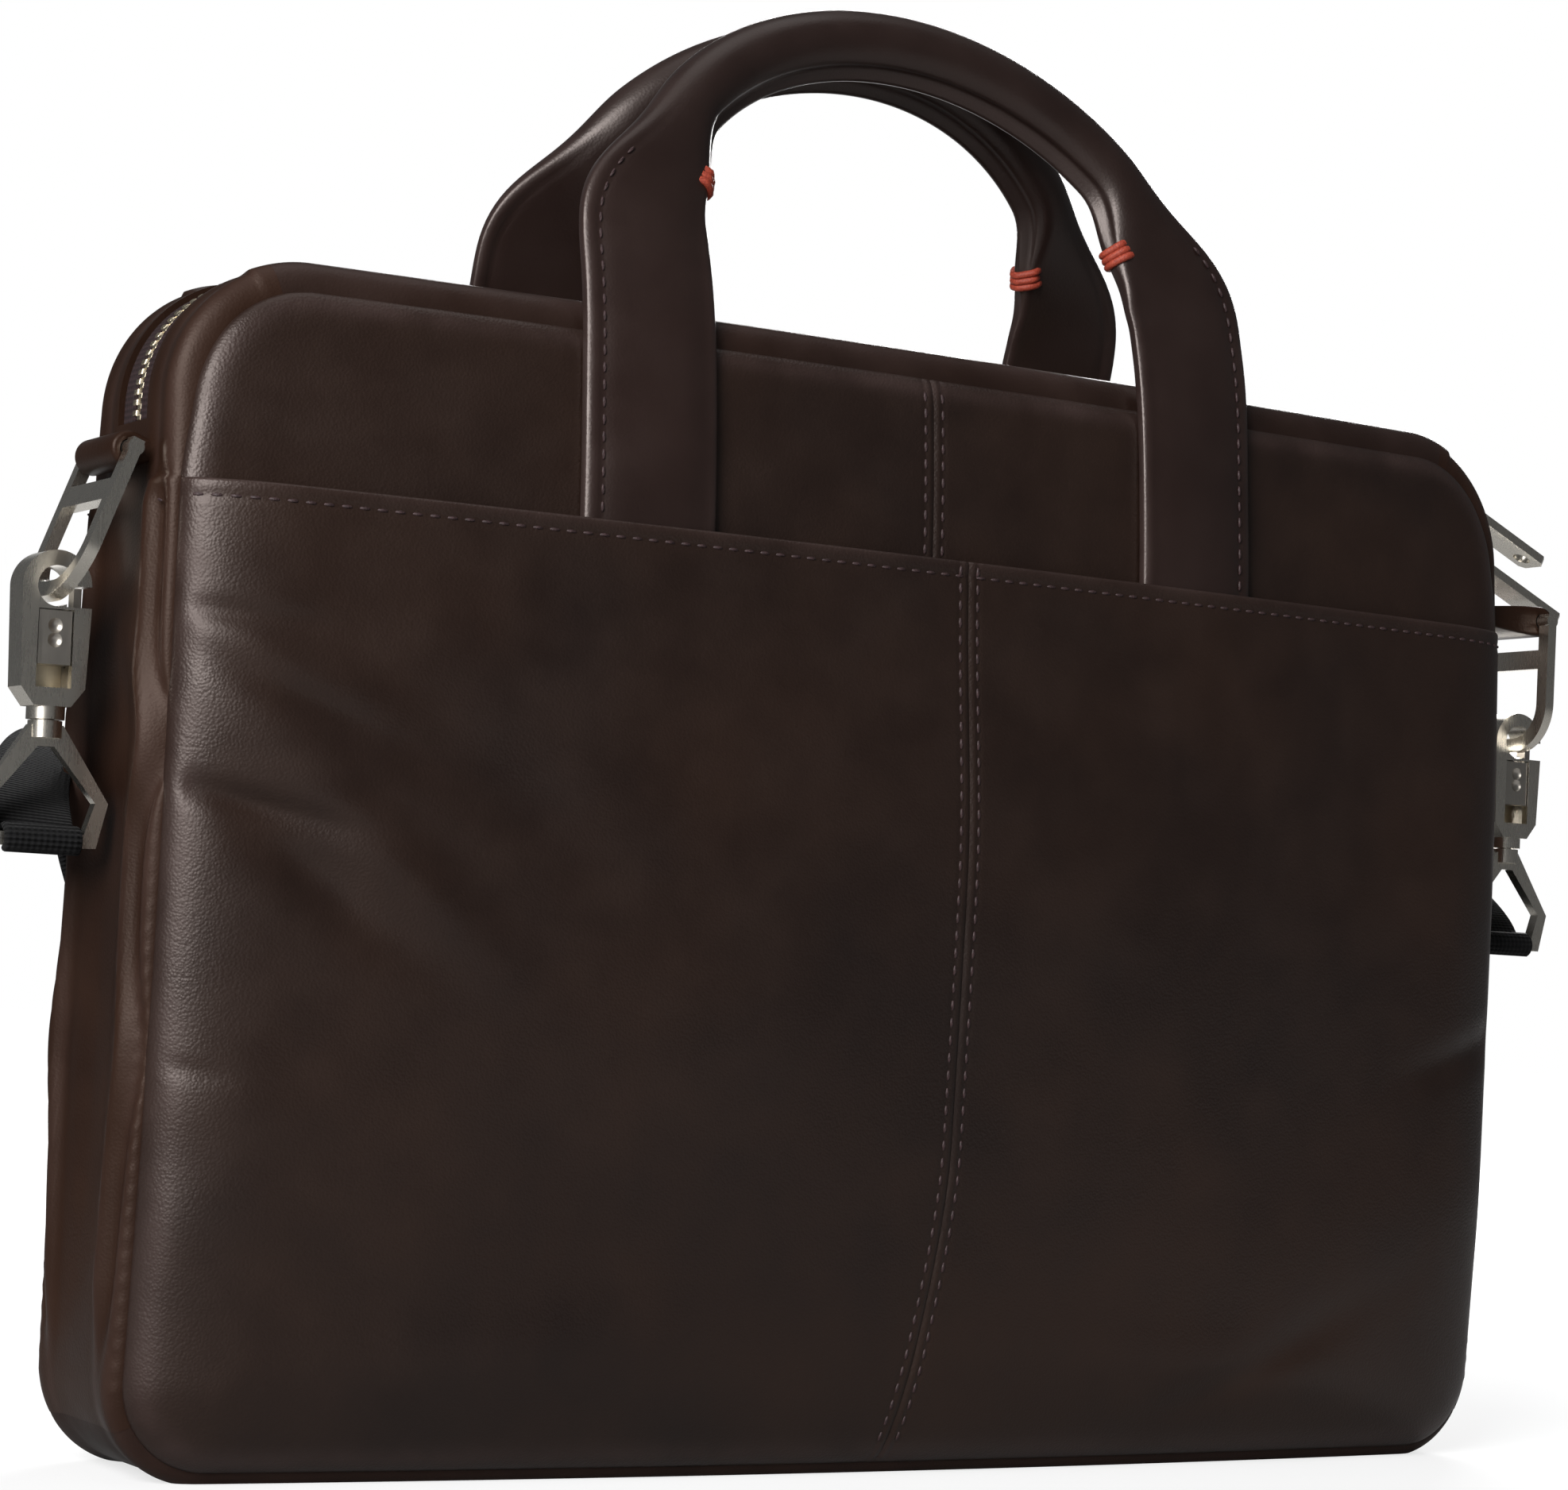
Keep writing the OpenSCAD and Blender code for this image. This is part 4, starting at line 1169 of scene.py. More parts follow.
@dataclass
class Edges(Leather):
    """Leather round the edge of the bag: side gussets, base and the strips beside the zip."""

    ridge_w: float = 5.0
    rise: float = 0.9
    slot_half: float = 9.2
    base_z: float = 12.0
    thick: float = 1.7
    seam_out: float = 0.9
    pucker: float = 0.14
    stitch_gap: float = 5.0
    # Soft ridge of the gusset: distance from the seam, height and half width.
    ridge: tuple[float, float, float] = (9.5, 2.5, 2.5)
    # Places where the ridge is drawn to the seam: reach, height and half height. The right side has a share of them.
    pinches: tuple[tuple[float, float, float], ...] = ((5.4, 170.0, 15.0), (2.6, 100.0, 16.0))
    pinch_right: float = 0.35
    # Groove between ridge and seam: distance from the ridge, depth and half width.
    hollow: tuple[float, float, float] = (4.6, 1.7, 2.0)
    dip: float = 2.3
    # Slanting fold: height, rise, half height and slope.
    slant: tuple[float, float, float, float] = (182.0, 0.8, 8.0, 0.4)
    thread: float = 0.75
    strip_row: tuple[float, float] = (4.4, 2.9)
    hold_row: tuple[float, float, float] = (2.5, 11.5, 2.6)

    def rows_across(self) -> Array:
        """Shares of the half depth, close together at both seams, with a row at each side of the zip slot."""
        inner = np.linspace(0, 1, 15)
        outer = 1 + np.sin(np.linspace(0, np.pi / 2, 22))[1:]
        half = np.concatenate([inner, outer])
        return np.concatenate([-half[:0:-1], half])

    def surface(self, way: Array, side: int, sink: float) -> tuple[Array, Array]:
        """Points round the edge of the bag, between the two panel seams.

        A quarter of an ellipse rolls up from each seam, and the slack of the side leather is added to it.

        Args:
            way: way along the outline, negative on the left of the base.
            side: sign of X.
            sink: distance below the leather's surface.

        Returns:
            Points, and the distance from the nearest seam.
        """
        form = self.form
        x0, z0, nx, nz = (value[:, None] for value in form.rim_point(np.abs(way)))
        turn = np.where(way < 0, -side, side)[:, None]
        share = self.rows_across()[None, :]
        seam = form.seam_y(x0, z0) + self.seam_out
        v = np.abs(share)
        y = np.where(v <= 1, v * self.slot_half, self.slot_half + (v - 1) * (seam - self.slot_half))
        y = np.sign(share) * y
        gap = seam - np.abs(y)
        soft = np.where(nz > -0.2, self.softness(gap, z0, side), 0.0)
        step = np.where((z0 > form.pocket_z) & (nz < 0.9), -0.9 * smooth_step((14 - gap) / 5), 0.0)
        t = np.clip(gap / self.ridge_w, 0, 1)
        drop = form.seam_in(z0) + 0.8
        lift = -drop + (drop + self.rise) * np.sqrt(1 - (1 - t) ** 2) - self.rise * smooth_step((gap - 4) / 9)
        lift = lift + soft + step - sink
        return stacked(turn * (x0 + nx * lift), y, z0 + nz * lift), gap

    def softness(self, gap: Array, z: Array, side: int) -> Array:
        """Relief of the slack side leather: ridge, groove, dip, slanting fold and puckers at the stitches.

        Args:
            gap: distances from the nearest seam.
            z: heights.
            side: sign of X.

        Returns:
            Heights to add.
        """
        middle, high, half = self.ridge
        pinch = sum(reach * bell(z, at, tall) for reach, at, tall in self.pinches)
        middle = middle - pinch * (1 if side < 0 else self.pinch_right) + 0.6 * np.sin(z / 19.0)
        upright = smooth_step((z - 20) / 30) * smooth_step((236 - z) / 12)
        away, deep, narrow = self.hollow
        relief = (high * bell(gap, middle, half) - deep * bell(gap, middle - away, narrow)) * upright
        side_only = smooth_step((z - 26) / 60) * smooth_step((212 - z) / 40)
        relief = relief - self.dip * smooth_step((gap - 13) / 12) * side_only
        at, up, tall, slope = self.slant
        relief = relief + up * bell(z - slope * gap, at, tall) * smooth_step(gap / 8)
        wave = np.sin(z * 2 * np.pi / self.stitch_gap) * smooth_step((170 - z) / 60)
        return relief + self.pucker * wave * bell(gap, 1.2, 1.6)

    def skin(self, way: Array, side: int) -> tuple[Array, Array, Array]:
        """Both sides of the leather round the edge.

        Args:
            way: way along the outline.
            side: sign of X.

        Returns:
            Outer and inner points, and the distance from the nearest seam.
        """
        outer, gap = self.surface(way, side, 0.0)
        inner, _ = self.surface(way, side, self.thick)
        return outer, inner, gap

    def rub_and_highlight(self, gap: Array, strength: float) -> Array:
        """Lighter colour on the roll beside the seam: partly worn leather, partly a painted highlight."""
        return strength * bell(gap, self.ridge_w / 2, 2.2)

    def gusset(self, side: Side) -> None:
        """Side gusset with the end of the zip slot.

        Args:
            side: left or right.
        """
        form = self.form
        start, stop = form.way_to(z=self.base_z) + 0.1, form.way_to(x=form.lip_half) - 0.01
        slot = form.way_to(z=form.zip_end_z)
        way = np.concatenate([np.linspace(start, slot, 230), np.linspace(slot, stop, 44)[1:]])
        outer, inner, gap = self.skin(way, side.value)
        share = self.rows_across()
        middle = (np.abs(share[:-1] + share[1:]) / 2) < 1
        keep = ~((way[:-1] >= slot - 1e-6)[:, None] & middle[None, :])
        # Lighter colour on the roll and on the crest of the soft ridge: partly worn leather, partly a painted
        # highlight.
        wear_and_highlight = np.clip(self.rub_and_highlight(gap, 0.85) + 0.75 * bell(gap, self.ridge[0], 1.8), 0, 1)
        patches = [cut_shell(outer, inner, wear_and_highlight, keep), *self.seam_stitches(side)]
        piece = make_piece(f"gusset_leather_{side.word}", patches,
                           self.finishes.of(Finish.GUSSET, Finish.THREAD))
        self.on_bag(piece, f"gusset_{side.word}")

    def seam_stitches(self, side: Side) -> list[Patch]:
        """Short rows of thread that hold the ridge at the pocket line.

        Args:
            side: left or right.

        Returns:
            The stitches.
        """
        form, count = self.form, 3
        first, last, length = self.hold_row
        edge = form.seam_y(form.half_w, form.pocket_z)
        along, out = np.tile([0.0, 1.0, 0.25], (count, 1)), np.tile([float(side.value), 0, 0], (count, 1))
        rows = []
        for face in Face:
            y = face.value * (edge - np.linspace(first, last, count))
            at = stacked(side.value * (form.half_w + self.thread), y, form.pocket_z - 5.4)
            rows.append(stitches(at, along, out, length, self.thread, 1))
        return rows

    def base(self) -> None:
        """Base band that turns up into both gussets."""
        form = self.form
        stop = form.way_to(z=self.base_z)
        flat = 176.0
        corner = np.linspace(flat, stop, 22)
        way = np.concatenate([-corner[::-1], np.linspace(-flat, flat, 60)[1:-1], corner])
        outer, inner, gap = self.skin(way, 1)
        outer = outer + 0.28 * bell(np.abs(way), stop, 1.1)[:, None, None] * np.array([0.0, 0, 1.0])
        # The roll beside the seam gets the lighter colour: partly worn leather, partly a painted highlight.
        piece = make_piece("base_leather", [cut_shell(outer, inner, self.rub_and_highlight(gap, 0.8))],
                           self.finishes.of(Finish.BASE))
        self.on_bag(piece, "base_panel")

    def strip(self, face: Face, side: Side) -> None:
        """Half of the strip between the zip and the panel seam.

        Args:
            face: front or rear.
            side: left or right half.
        """
        form = self.form
        start = form.way_to(x=form.lip_half) + 0.01
        bend = start + 14
        way = np.concatenate([np.linspace(start, bend, 12), np.linspace(bend, form.way_top, 60)[1:]])
        half = self.rows_across() * face.value >= 1
        outer, inner, gap = (grid[:, half] for grid in self.skin(way, side.value))
        row = outer[:, 2 if face is Face.REAR else -3]
        path = stacked(outer[:, 2, 0], row[:, 1], row[:, 2] + 0.05)
        gap_len, length = self.strip_row
        at, along = resample(path, gap_len, 2.0)
        thread = stitches(at, along, np.tile([0.0, 0, 1.0], (len(at), 1)), length, self.thread, 1)
        # The roll beside the seam gets the lighter colour: partly worn leather, partly a painted highlight.
        patches = [cut_shell(outer, inner, self.rub_and_highlight(gap, 0.8)), thread]
        piece = make_piece(f"zip_strip_{face.word}_{side.word}", patches,
                           self.finishes.of(Finish.STRIP, Finish.THREAD))
        self.fold(piece, face, side)
        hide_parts(f"zip_strip_{face.word}")

    def build(self) -> None:
        """Makes all edge pieces."""
        for side in Side:
            self.gusset(side)
            for face in Face:
                self.strip(face, side)
        self.base()


@dataclass
class Zip(Leather):
    """Zip tape and teeth, on the lips and on the ends that stay on the bag."""

    sink: float = 1.4
    tape_t: float = 0.9
    tape_out: float = 9.0
    tape_in: float = 1.4
    # Cord at the inner edge of the tape: distance from the middle, height and half width.
    cord: tuple[float, float, float] = (2.6, 0.35, 1.0)
    cord_end: float = 3.2
    pitch: float = 2.6
    tooth: tuple[float, float, float] = (1.45, 2.7, 2.0)
    tooth_sink: float = 0.45
    tooth_waist: float = 0.56
    clear: float = 0.8

    def tape(self, start: float, stop: float, side: Side, sign: int) -> list[Patch]:
        """Length of tape on one side of the teeth.

        Args:
            start: way along the outline where it starts.
            stop: way where it ends.
            side: left or right half.
            sign: sign of Y.

        Returns:
            The patches.
        """
        way = np.arange(start, stop + 1e-6, (stop - start) / max(8, round((stop - start) / 2.5)))
        x, z, nx, nz = (value[:, None] for value in self.form.rim_point(way))
        y = np.concatenate([np.linspace(self.tape_in, self.cord_end, 4),
                            np.linspace(self.cord_end, self.tape_out, 7)[1:]])[None, :]
        middle, high, half = self.cord
        lift, y = high * bell(y, middle, half) - self.sink, sign * y
        outer = stacked(side.value * (x + nx * lift), y, z + nz * lift)
        deep = -self.sink - self.tape_t
        inner = stacked(side.value * (x + nx * deep), y, z + nz * deep)
        uv = stacked(way[:, None], y) * MM
        return shell(outer, inner, uv=uv)

    def teeth(self, start: float, stop: float, side: Side, sign: int) -> Patch:
        """Row of metal teeth on one side of the slit.

        Args:
            start: way along the outline where the row starts.
            stop: way where it ends.
            side: left or right half.
            sign: sign of Y.

        Returns:
            All teeth of the row in one patch.
        """
        shift = 0.25 if sign > 0 else 0.75
        number = np.arange(math.ceil(start / self.pitch - shift), math.floor(stop / self.pitch - shift) + 1)
        way = (number + shift) * self.pitch
        way = way[(way > start + self.clear) & (way < stop - self.clear)]
        x, z, nx, nz = self.form.rim_point(way)
        out = stacked(side.value * nx, 0.0, nz)
        along = stacked(-side.value * nz, 0.0, nx)
        at = stacked(side.value * x, 0.0, z) - out * (self.sink + self.tooth_sink)
        long, wide, tall = self.tooth
        level = np.array([-0.5, -0.5, 0.32, 0.5]) * tall
        waist = np.array([0.72, 1.0, 1.0, 0.62])
        corner_a = np.array([-0.5, 0.5, 0.5, -0.5]) * long
        corner_y = np.array([0.12, 0.12, 1.0, 1.0]) * wide
        core = wide * self.tooth_waist
        points = (at[:, None, None] + out[:, None, None] * level[None, :, None, None]
                  + along[:, None, None] * (waist[:, None] * corner_a)[None, :, :, None]
                  + np.array([0.0, sign, 0]) * ((corner_y - core) * waist[:, None] + core)[None, :, :, None])
        return repeated(points, np.concatenate([grid_faces(4, 4, wrap=True), [[3, 2, 1, 0], [12, 13, 14, 15]]]))

    def build(self) -> None:
        """Makes tape and teeth for both lips and both ends."""
        form = self.form
        low, mid, top = form.way_to(z=form.zip_end_z), form.way_to(x=form.lip_half), form.way_top
        cloth, metal = self.finishes.of(Finish.TAPE), self.finishes.of(Finish.BRASS)
        for side in Side:
            word = side.word
            for face in Face:
                tape = make_piece(f"zip_tape_{face.word}_{word}", self.tape(mid + 0.01, top, side, face.value), cloth)
                teeth = make_piece(f"zip_teeth_{face.word}_{word}", [self.teeth(mid, top, side, face.value)], metal,
                                   smooth=False)
                for piece, node in ((tape, "tape"), (teeth, "teeth")):
                    self.fold(piece, face, side)
                    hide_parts(f"zip_{node}_{face.word}")
            ends = [patch for face in Face for patch in self.tape(low + 0.3, mid - 0.01, side, face.value)]
            rows = [self.teeth(low, mid, side, face.value) for face in Face]
            tape = make_piece(f"zip_end_tape_{word}", ends, cloth)
            teeth = make_piece(f"zip_end_teeth_{word}", rows, metal, smooth=False)
            for piece, node in ((tape, f"zip_end_{word}"), (teeth, f"end_teeth_{word}")):
                self.on_bag(piece, node)


@dataclass
class Handles(Leather):
    """Carrying handles: flat straps that roll into a round grip, their sewn ends and the thread tacks."""

    strap_x: float = 83.0
    strap_w: float = 36.0
    strap_t: float = 3.0
    arch_z: float = 300.0
    arch_rise: float = 69.0
    grip: tuple[float, float] = (16.4, 14.0)
    lean: float = 0.31
    tack_z: float = 326.0
    tack_reach: float = 6.0
    low_z: float = 229.6
    anchor_z: float = 203.0
    bulge: float = 2.0
    ring_points: int = 64
    roll_low: float = 21.0
    roll_tall: float = 40.0
    crown_end: tuple[float, float] = (258.0, 46.0)
    bend_end: float = 247.0
    edge_in: float = 4.4
    thread_in: float = 4.3
    thread: float = 0.8
    stitch_len: float = 2.8
    stitch_gap: float = 4.3
    wrap_gap: float = 2.2
    wrap_r: float = 1.02

    def strap_y(self, x: Array | float, z: Array) -> Array:
        """Y of the strap's middle layer on the front: it lies on the crowned leather, then leans back to the arch."""
        form = self.form
        low = np.minimum(z, form.height)
        over, soft, gap = z - form.height, 9.0, 0.25
        lean = self.lean * (np.sqrt(over ** 2 + soft ** 2) + over) / 2
        return form.sag(x, low) - form.half_d - form.upper_out(low) - gap - self.strap_t / 2 + lean

    def path(self) -> Array:
        """Middle line of the front handle, from the left pocket over the arch to the right pocket."""
        rise = np.linspace(self.low_z, self.arch_z, 60)
        turn = np.linspace(0, np.pi / 2, 64)[1:]
        x = np.concatenate([np.full(len(rise), self.strap_x), self.strap_x * np.cos(turn)])
        z = np.concatenate([rise, self.arch_z + self.arch_rise * np.sin(turn)])
        x, z = np.concatenate([-x, x[-2::-1]]), np.concatenate([z, z[-2::-1]])
        return stacked(x, self.strap_y(self.strap_x, z), z)

    @staticmethod
    def frames(points: Array) -> tuple[Array, Array, Array]:
        """Directions along the line, in depth and across the strap.

        Args:
            points: points of the line.

        Returns:
            Three unit directions for each point.
        """
        along = unit(np.gradient(points, axis=0))
        depth = unit(np.array([0.0, 1, 0]) - along * along[:, 1:2])
        return along, depth, np.cross(along, depth)

    def rolled(self, z: Array) -> Array:
        """Share of the round grip at a height."""
        return smooth_step((z - self.tack_z + self.roll_low) / self.roll_tall)

    def middle(self) -> tuple[Array, Array, Array, Array]:
        """Middle line of the strap with its directions: its outer edge folds in first, so the line moves inwards.

        Returns:
            Points, and the directions along, in depth and across.
        """
        points = self.path()
        along, depth, wide = self.frames(points)
        r = self.rolled(points[:, 2])
        half_w, _ = self.halves(points[:, 2])
        shift = 2.0 * r * (1 - r) * (self.strap_w / 2 - half_w)
        return points - wide * shift[:, None], along, depth, wide

    def halves(self, z: Array) -> tuple[Array, Array]:
        """Half width and half thickness at a height."""
        r = self.rolled(z)
        return (self.strap_w * (1 - r) + self.grip[0] * r) / 2, (self.strap_t * (1 - r) + self.grip[1] * r) / 2

    def crown(self, across: Array, half_w: Array, rolled: Array) -> Array:
        """Bulge of the strap's outer face, which fades out where the strap rolls up."""
        return self.bulge * np.maximum(1 - (across / half_w) ** 2, 0) * (1 - rolled)

    def rings(self) -> tuple[Array, Array, Array]:
        """Rings of points round the front handle, with the share of lighter edge colour and unrolled place.

        The inner side of the grip has the two sewn edges of the roll as a low fin between grooves.

        Returns:
            Points, share of lighter edge colour and place.
        """
        points, _, depth, wide = self.middle()
        z = points[:, 2]
        half_w, half_t = self.halves(z)
        r = self.rolled(z)[:, None]
        a = np.linspace(0, 2 * np.pi, self.ring_points, endpoint=False) + np.pi / self.ring_points
        power = 0.3 + 0.7 * r
        c, s = np.cos(a)[None, :], np.sin(a)[None, :]
        across = np.sign(c) * np.abs(c) ** power
        deep = np.sign(s) * np.abs(s) ** power
        off = np.abs(a - np.pi)[None, :]
        fin = 2.1 * np.exp(-(off / 0.2) ** 4) - 0.8 * bell(off, 0.42, 0.13)
        half_w, half_t = half_w[:, None], half_t[:, None]
        across = across * half_w - fin * smooth_step((r - 0.25) / 0.75)
        swell = 0.28 * bell(np.abs(across), half_w - 1.5, 1.6) * (1 - r)
        hem = -0.35 * bell(across, half_w - self.edge_in, 0.8) * (1 - r)
        deep = deep * half_t + np.sign(s) * (swell + hem) - (s < 0) * self.crown(across, half_w, r)
        ring = points[:, None] + wide[:, None] * across[..., None] + depth[:, None] * deep[..., None]
        ring[..., 1] += self.on_crown(ring[..., 0], z[:, None])
        # Lighter colour on the strap's edges: partly worn leather, partly a painted highlight.
        wear_and_highlight = np.clip(0.55 * bell(np.abs(across), half_w, 2.0) * (1 - 0.6 * r), 0, 1)
        uv = stacked(run_of(points)[:, None], across) * MM
        return ring, wear_and_highlight, uv

    def on_crown(self, x: Array, z: Array) -> Array:
        """Change of Y beside the strap's middle line: that of the crown below it, which fades out above the lip."""
        start, tall = self.crown_end
        return (self.form.sag(x, z) - self.form.sag(self.strap_x, z)) * (1 - smooth_step((z - start) / tall))

    def edge_rows(self) -> list[Patch]:
        """Stitches along the outer edge of both straps, up to where the roll starts."""
        points, _, depth, wide = self.middle()
        z = points[:, 2]
        half_w, half_t = self.halves(z)
        place = half_w - self.thread_in
        lift = half_t + 0.02 + self.crown(place, half_w, self.rolled(z))
        line = points + wide * place[:, None] - depth * lift[:, None]
        line[:, 1] += self.on_crown(line[:, 0], z)
        shown = (z < self.tack_z - 4) & (z > self.form.pocket_z + 0.5)
        rows = []
        for side in Side:
            at, along = resample(line[shown & (np.sign(points[:, 0]) == side.value)], self.stitch_gap, 2.0)
            out = np.tile([0.0, -1.0, 0.0], (len(at), 1))
            rows.append(stitches(at, along, out, self.stitch_len, self.thread, 1))
        return rows

    def tack(self, sign: int) -> list[Patch]:
        """Three wraps of thread round the inner edge of a strap on the front handle.

        Args:
            sign: sign of X.

        Returns:
            The patches.
        """
        rings, _, _ = self.rings()
        points, along, _, wide = self.middle()
        run = run_of(points)
        start = int(np.argmin(np.abs(points[:, 2] - self.tack_z) + 1e3 * (np.sign(points[:, 0]) != sign)))
        a = np.linspace(0, 2 * np.pi, 10, endpoint=False)
        wraps = []
        for shift in (-self.wrap_gap, 0.0, self.wrap_gap):
            place = np.interp(run[start] + shift, run, np.arange(len(run)))
            k, part = int(place), place - int(place)
            ring = rings[k] * (1 - part) + rings[k + 1] * part
            across = (ring - points[k] * (1 - part) - points[k + 1] * part) @ wide[k]
            line, way = resample(ring[across < across.min() + self.tack_reach], 0.9)
            out = unit(np.cross(along[k], way))
            ends = np.minimum(np.arange(len(line)), np.arange(len(line))[::-1])
            line = line + out * (0.4 - 1.2 * (1 - smooth_step(ends / 2.0)))[:, None]
            circle = out[:, None] * np.cos(a)[None, :, None] + along[k] * np.sin(a)[None, :, None]
            wraps += tube(line[:, None] + self.wrap_r * circle)
        return wraps

    def anchor(self, sign: int) -> list[Patch]:
        """End of a strap inside the front pocket.

        Args:
            sign: sign of X.

        Returns:
            The patches.
        """
        x, z = np.meshgrid(sign * self.strap_x + np.linspace(-1, 1, 21) * self.strap_w / 2,
                           np.linspace(self.anchor_z, self.low_z + 0.2, 16))
        middle = self.strap_y(x, z)
        half = self.strap_t / 2 - 0.15
        outer = stacked(x, middle - half, z)
        inner = stacked(x, middle + half, z)
        return shell(outer, inner)

    @staticmethod
    def turn_round(patches: list[Patch], face: Face) -> list[Patch]:
        """Mirrors front patches for the rear, or leaves them."""
        if face is Face.FRONT:
            return patches
        return [Patch(p.points * np.array([1, -1, 1]), p.faces[:, ::-1], p.finish, p.edge, p.uv) for p in patches]

    def build(self) -> None:
        """Makes handles, tacks and sewn ends for both faces."""
        ring, wear_and_highlight, uv = self.rings()
        body = tube(ring, edge=wear_and_highlight, uv=uv) + self.edge_rows()
        leather = self.finishes.of(Finish.HANDLE, Finish.THREAD)
        for face in Face:
            grip = f"{face.word}_grip"
            handle = make_piece(f"handle_{face.word}", self.turn_round(body, face), leather)
            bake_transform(handle)
            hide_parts(f"{face.word}_handle")
            wraps = self.turn_round(self.tack(-1) + self.tack(1), face)
            tacks = make_piece(f"tacks_{face.word}", wraps, self.finishes.of(Finish.RED))
            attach(tacks, grip)
            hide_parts(f"{face.word}_tacks")
            ends = self.turn_round(self.anchor(-1) + self.anchor(1), face)
            anchors = make_piece(f"anchors_{face.word}", ends, leather)
            self.on_bag(anchors, f"{face.word}_anchors")


@dataclass
class Fittings(Leather):
    """Leather loops at the sides, the lining, the shoulder strap and the metal parts."""

    bar_z: float = 238.0
    bar_x: dict[Side, float] = field(default_factory=lambda: {Side.LEFT: -207.0, Side.RIGHT: 229.0})
    loop_half: float = 12.6
    bore: float = 2.25
    loop_t: float = 2.1
    web_half: float = 9.5
    web_t: float = 1.8
    web_round: float = 0.7
    web_y: float = 56.0
    web_low: float = 42.0
    bar_half: float = 1.6
    run: float = 0.3
    left_lean: float = 1.0
    web_x: dict[Side, float] = field(default_factory=lambda: {Side.LEFT: -189.0, Side.RIGHT: 229.0})
    web_top: float = 176.0
    rise: float = 0.12
    frame_drop: float = 59.0
    bevel: float = 0.35
    bevel_from: float = 35.0
    # Edge of a loop: distance from its side and depth of the skin that is cut away there.
    loop_rim: tuple[tuple[float, float], ...] = ((1.0, 0.0), (0.35, 0.25), (0.0, 0.8), (0.0, 1.4))
    cloth_t: float = 0.8
    cloth_z: tuple[float, float] = (6.2, 228.6)
    cloth_in: tuple[float, float] = (4.4, 3.4)
    eyes: dict[Side, Point] = field(default_factory=lambda: {
        Side.LEFT: (-219.31, 0.0, 205.17), Side.RIGHT: (229.0, 0.0, 203.0)})

    def loop(self, side: Side) -> None:
        """Leather loop that holds a ring: a drop-shaped fold with its ends let into the gusset.

        Args:
            side: left or right.
        """
        bar, sign = self.bar_x[side], side.value
        reach = abs(bar) - self.form.half_w + 1.6
        radius = self.bore + self.loop_t
        a = np.linspace(np.pi / 2, -np.pi / 2, 25)
        back = np.linspace(0, 1, 15)[1:]
        leaf = radius - (radius - self.loop_t - 0.4) * smooth_step(back)
        out_x = np.concatenate([radius * np.cos(a), -reach * back, np.full(3, -reach), -reach * back[::-1]])
        out_z = np.concatenate([radius * np.sin(a), -leaf, leaf[-1] * np.array([-0.5, 0, 0.5]), leaf[::-1]])
        angle = np.arctan2(out_z, out_x)
        in_x, in_z = self.bore * np.cos(angle), self.bore * np.sin(angle)
        half = self.loop_half
        inset, cut = np.array(self.loop_rim).T
        y = np.concatenate([[0.0], inset - half, (half - inset)[::-1]])[:, None]
        scale = 1 - np.concatenate([[0.0], cut, cut[::-1]])[:, None] / np.maximum(np.hypot(out_x, out_z), 0.1)
        rows = stacked(out_x * scale, y, out_z * scale)
        walls = np.array([[self.run - half], [half - self.run]])
        bore = stacked(in_x, walls, in_z)
        points = np.insert(rows, 1 + len(cut), bore, axis=0)
        points = points * np.array([sign, 1, 1]) + np.array([bar, 0, self.bar_z])
        piece = make_piece(f"leather_loop_{side.word}", [ring_skin(points)],
                           self.finishes.of(Finish.GUSSET))
        self.on_bag(piece, f"loop_{side.word}")

    def lining(self) -> None:
        """Cloth bag inside: rings of points down the outside, up the inside, closed at the bottom."""
        form, square = self.form, 0.16
        low, high = self.cloth_z
        side_in, face_in = self.cloth_in
        a = np.linspace(0, 2 * np.pi, 160, endpoint=False) + 0.01
        c, s = np.cos(a), np.sin(a)
        wide, deep = np.sign(c) * np.abs(c) ** square, np.sign(s) * np.abs(s) ** square
        heights = np.concatenate([[low], np.linspace(low, high, 26)])
        shrink = np.concatenate([[0.5], np.ones(26)])[:, None]

        def wall(thick: float) -> Array:
            """Rings of one side of the cloth."""
            z = np.maximum(heights, low + thick)[:, None] + 0 * wide
            x = shrink * wide * (form.half_width(np.maximum(z, 10), side_in) - thick)
            y = shrink * deep * (form.half_d - form.sag(x, z) - face_in - thick)
            return stacked(x, y, z)

        rings = np.concatenate([wall(0.0), wall(self.cloth_t)[::-1]])
        uv = stacked(run_of(rings[5])[None, :], rings[..., 2]) * MM
        piece = make_piece("lining_bag", tube(rings, uv=uv), self.finishes.of(Finish.LINING))
        self.on_bag(piece, "lining")

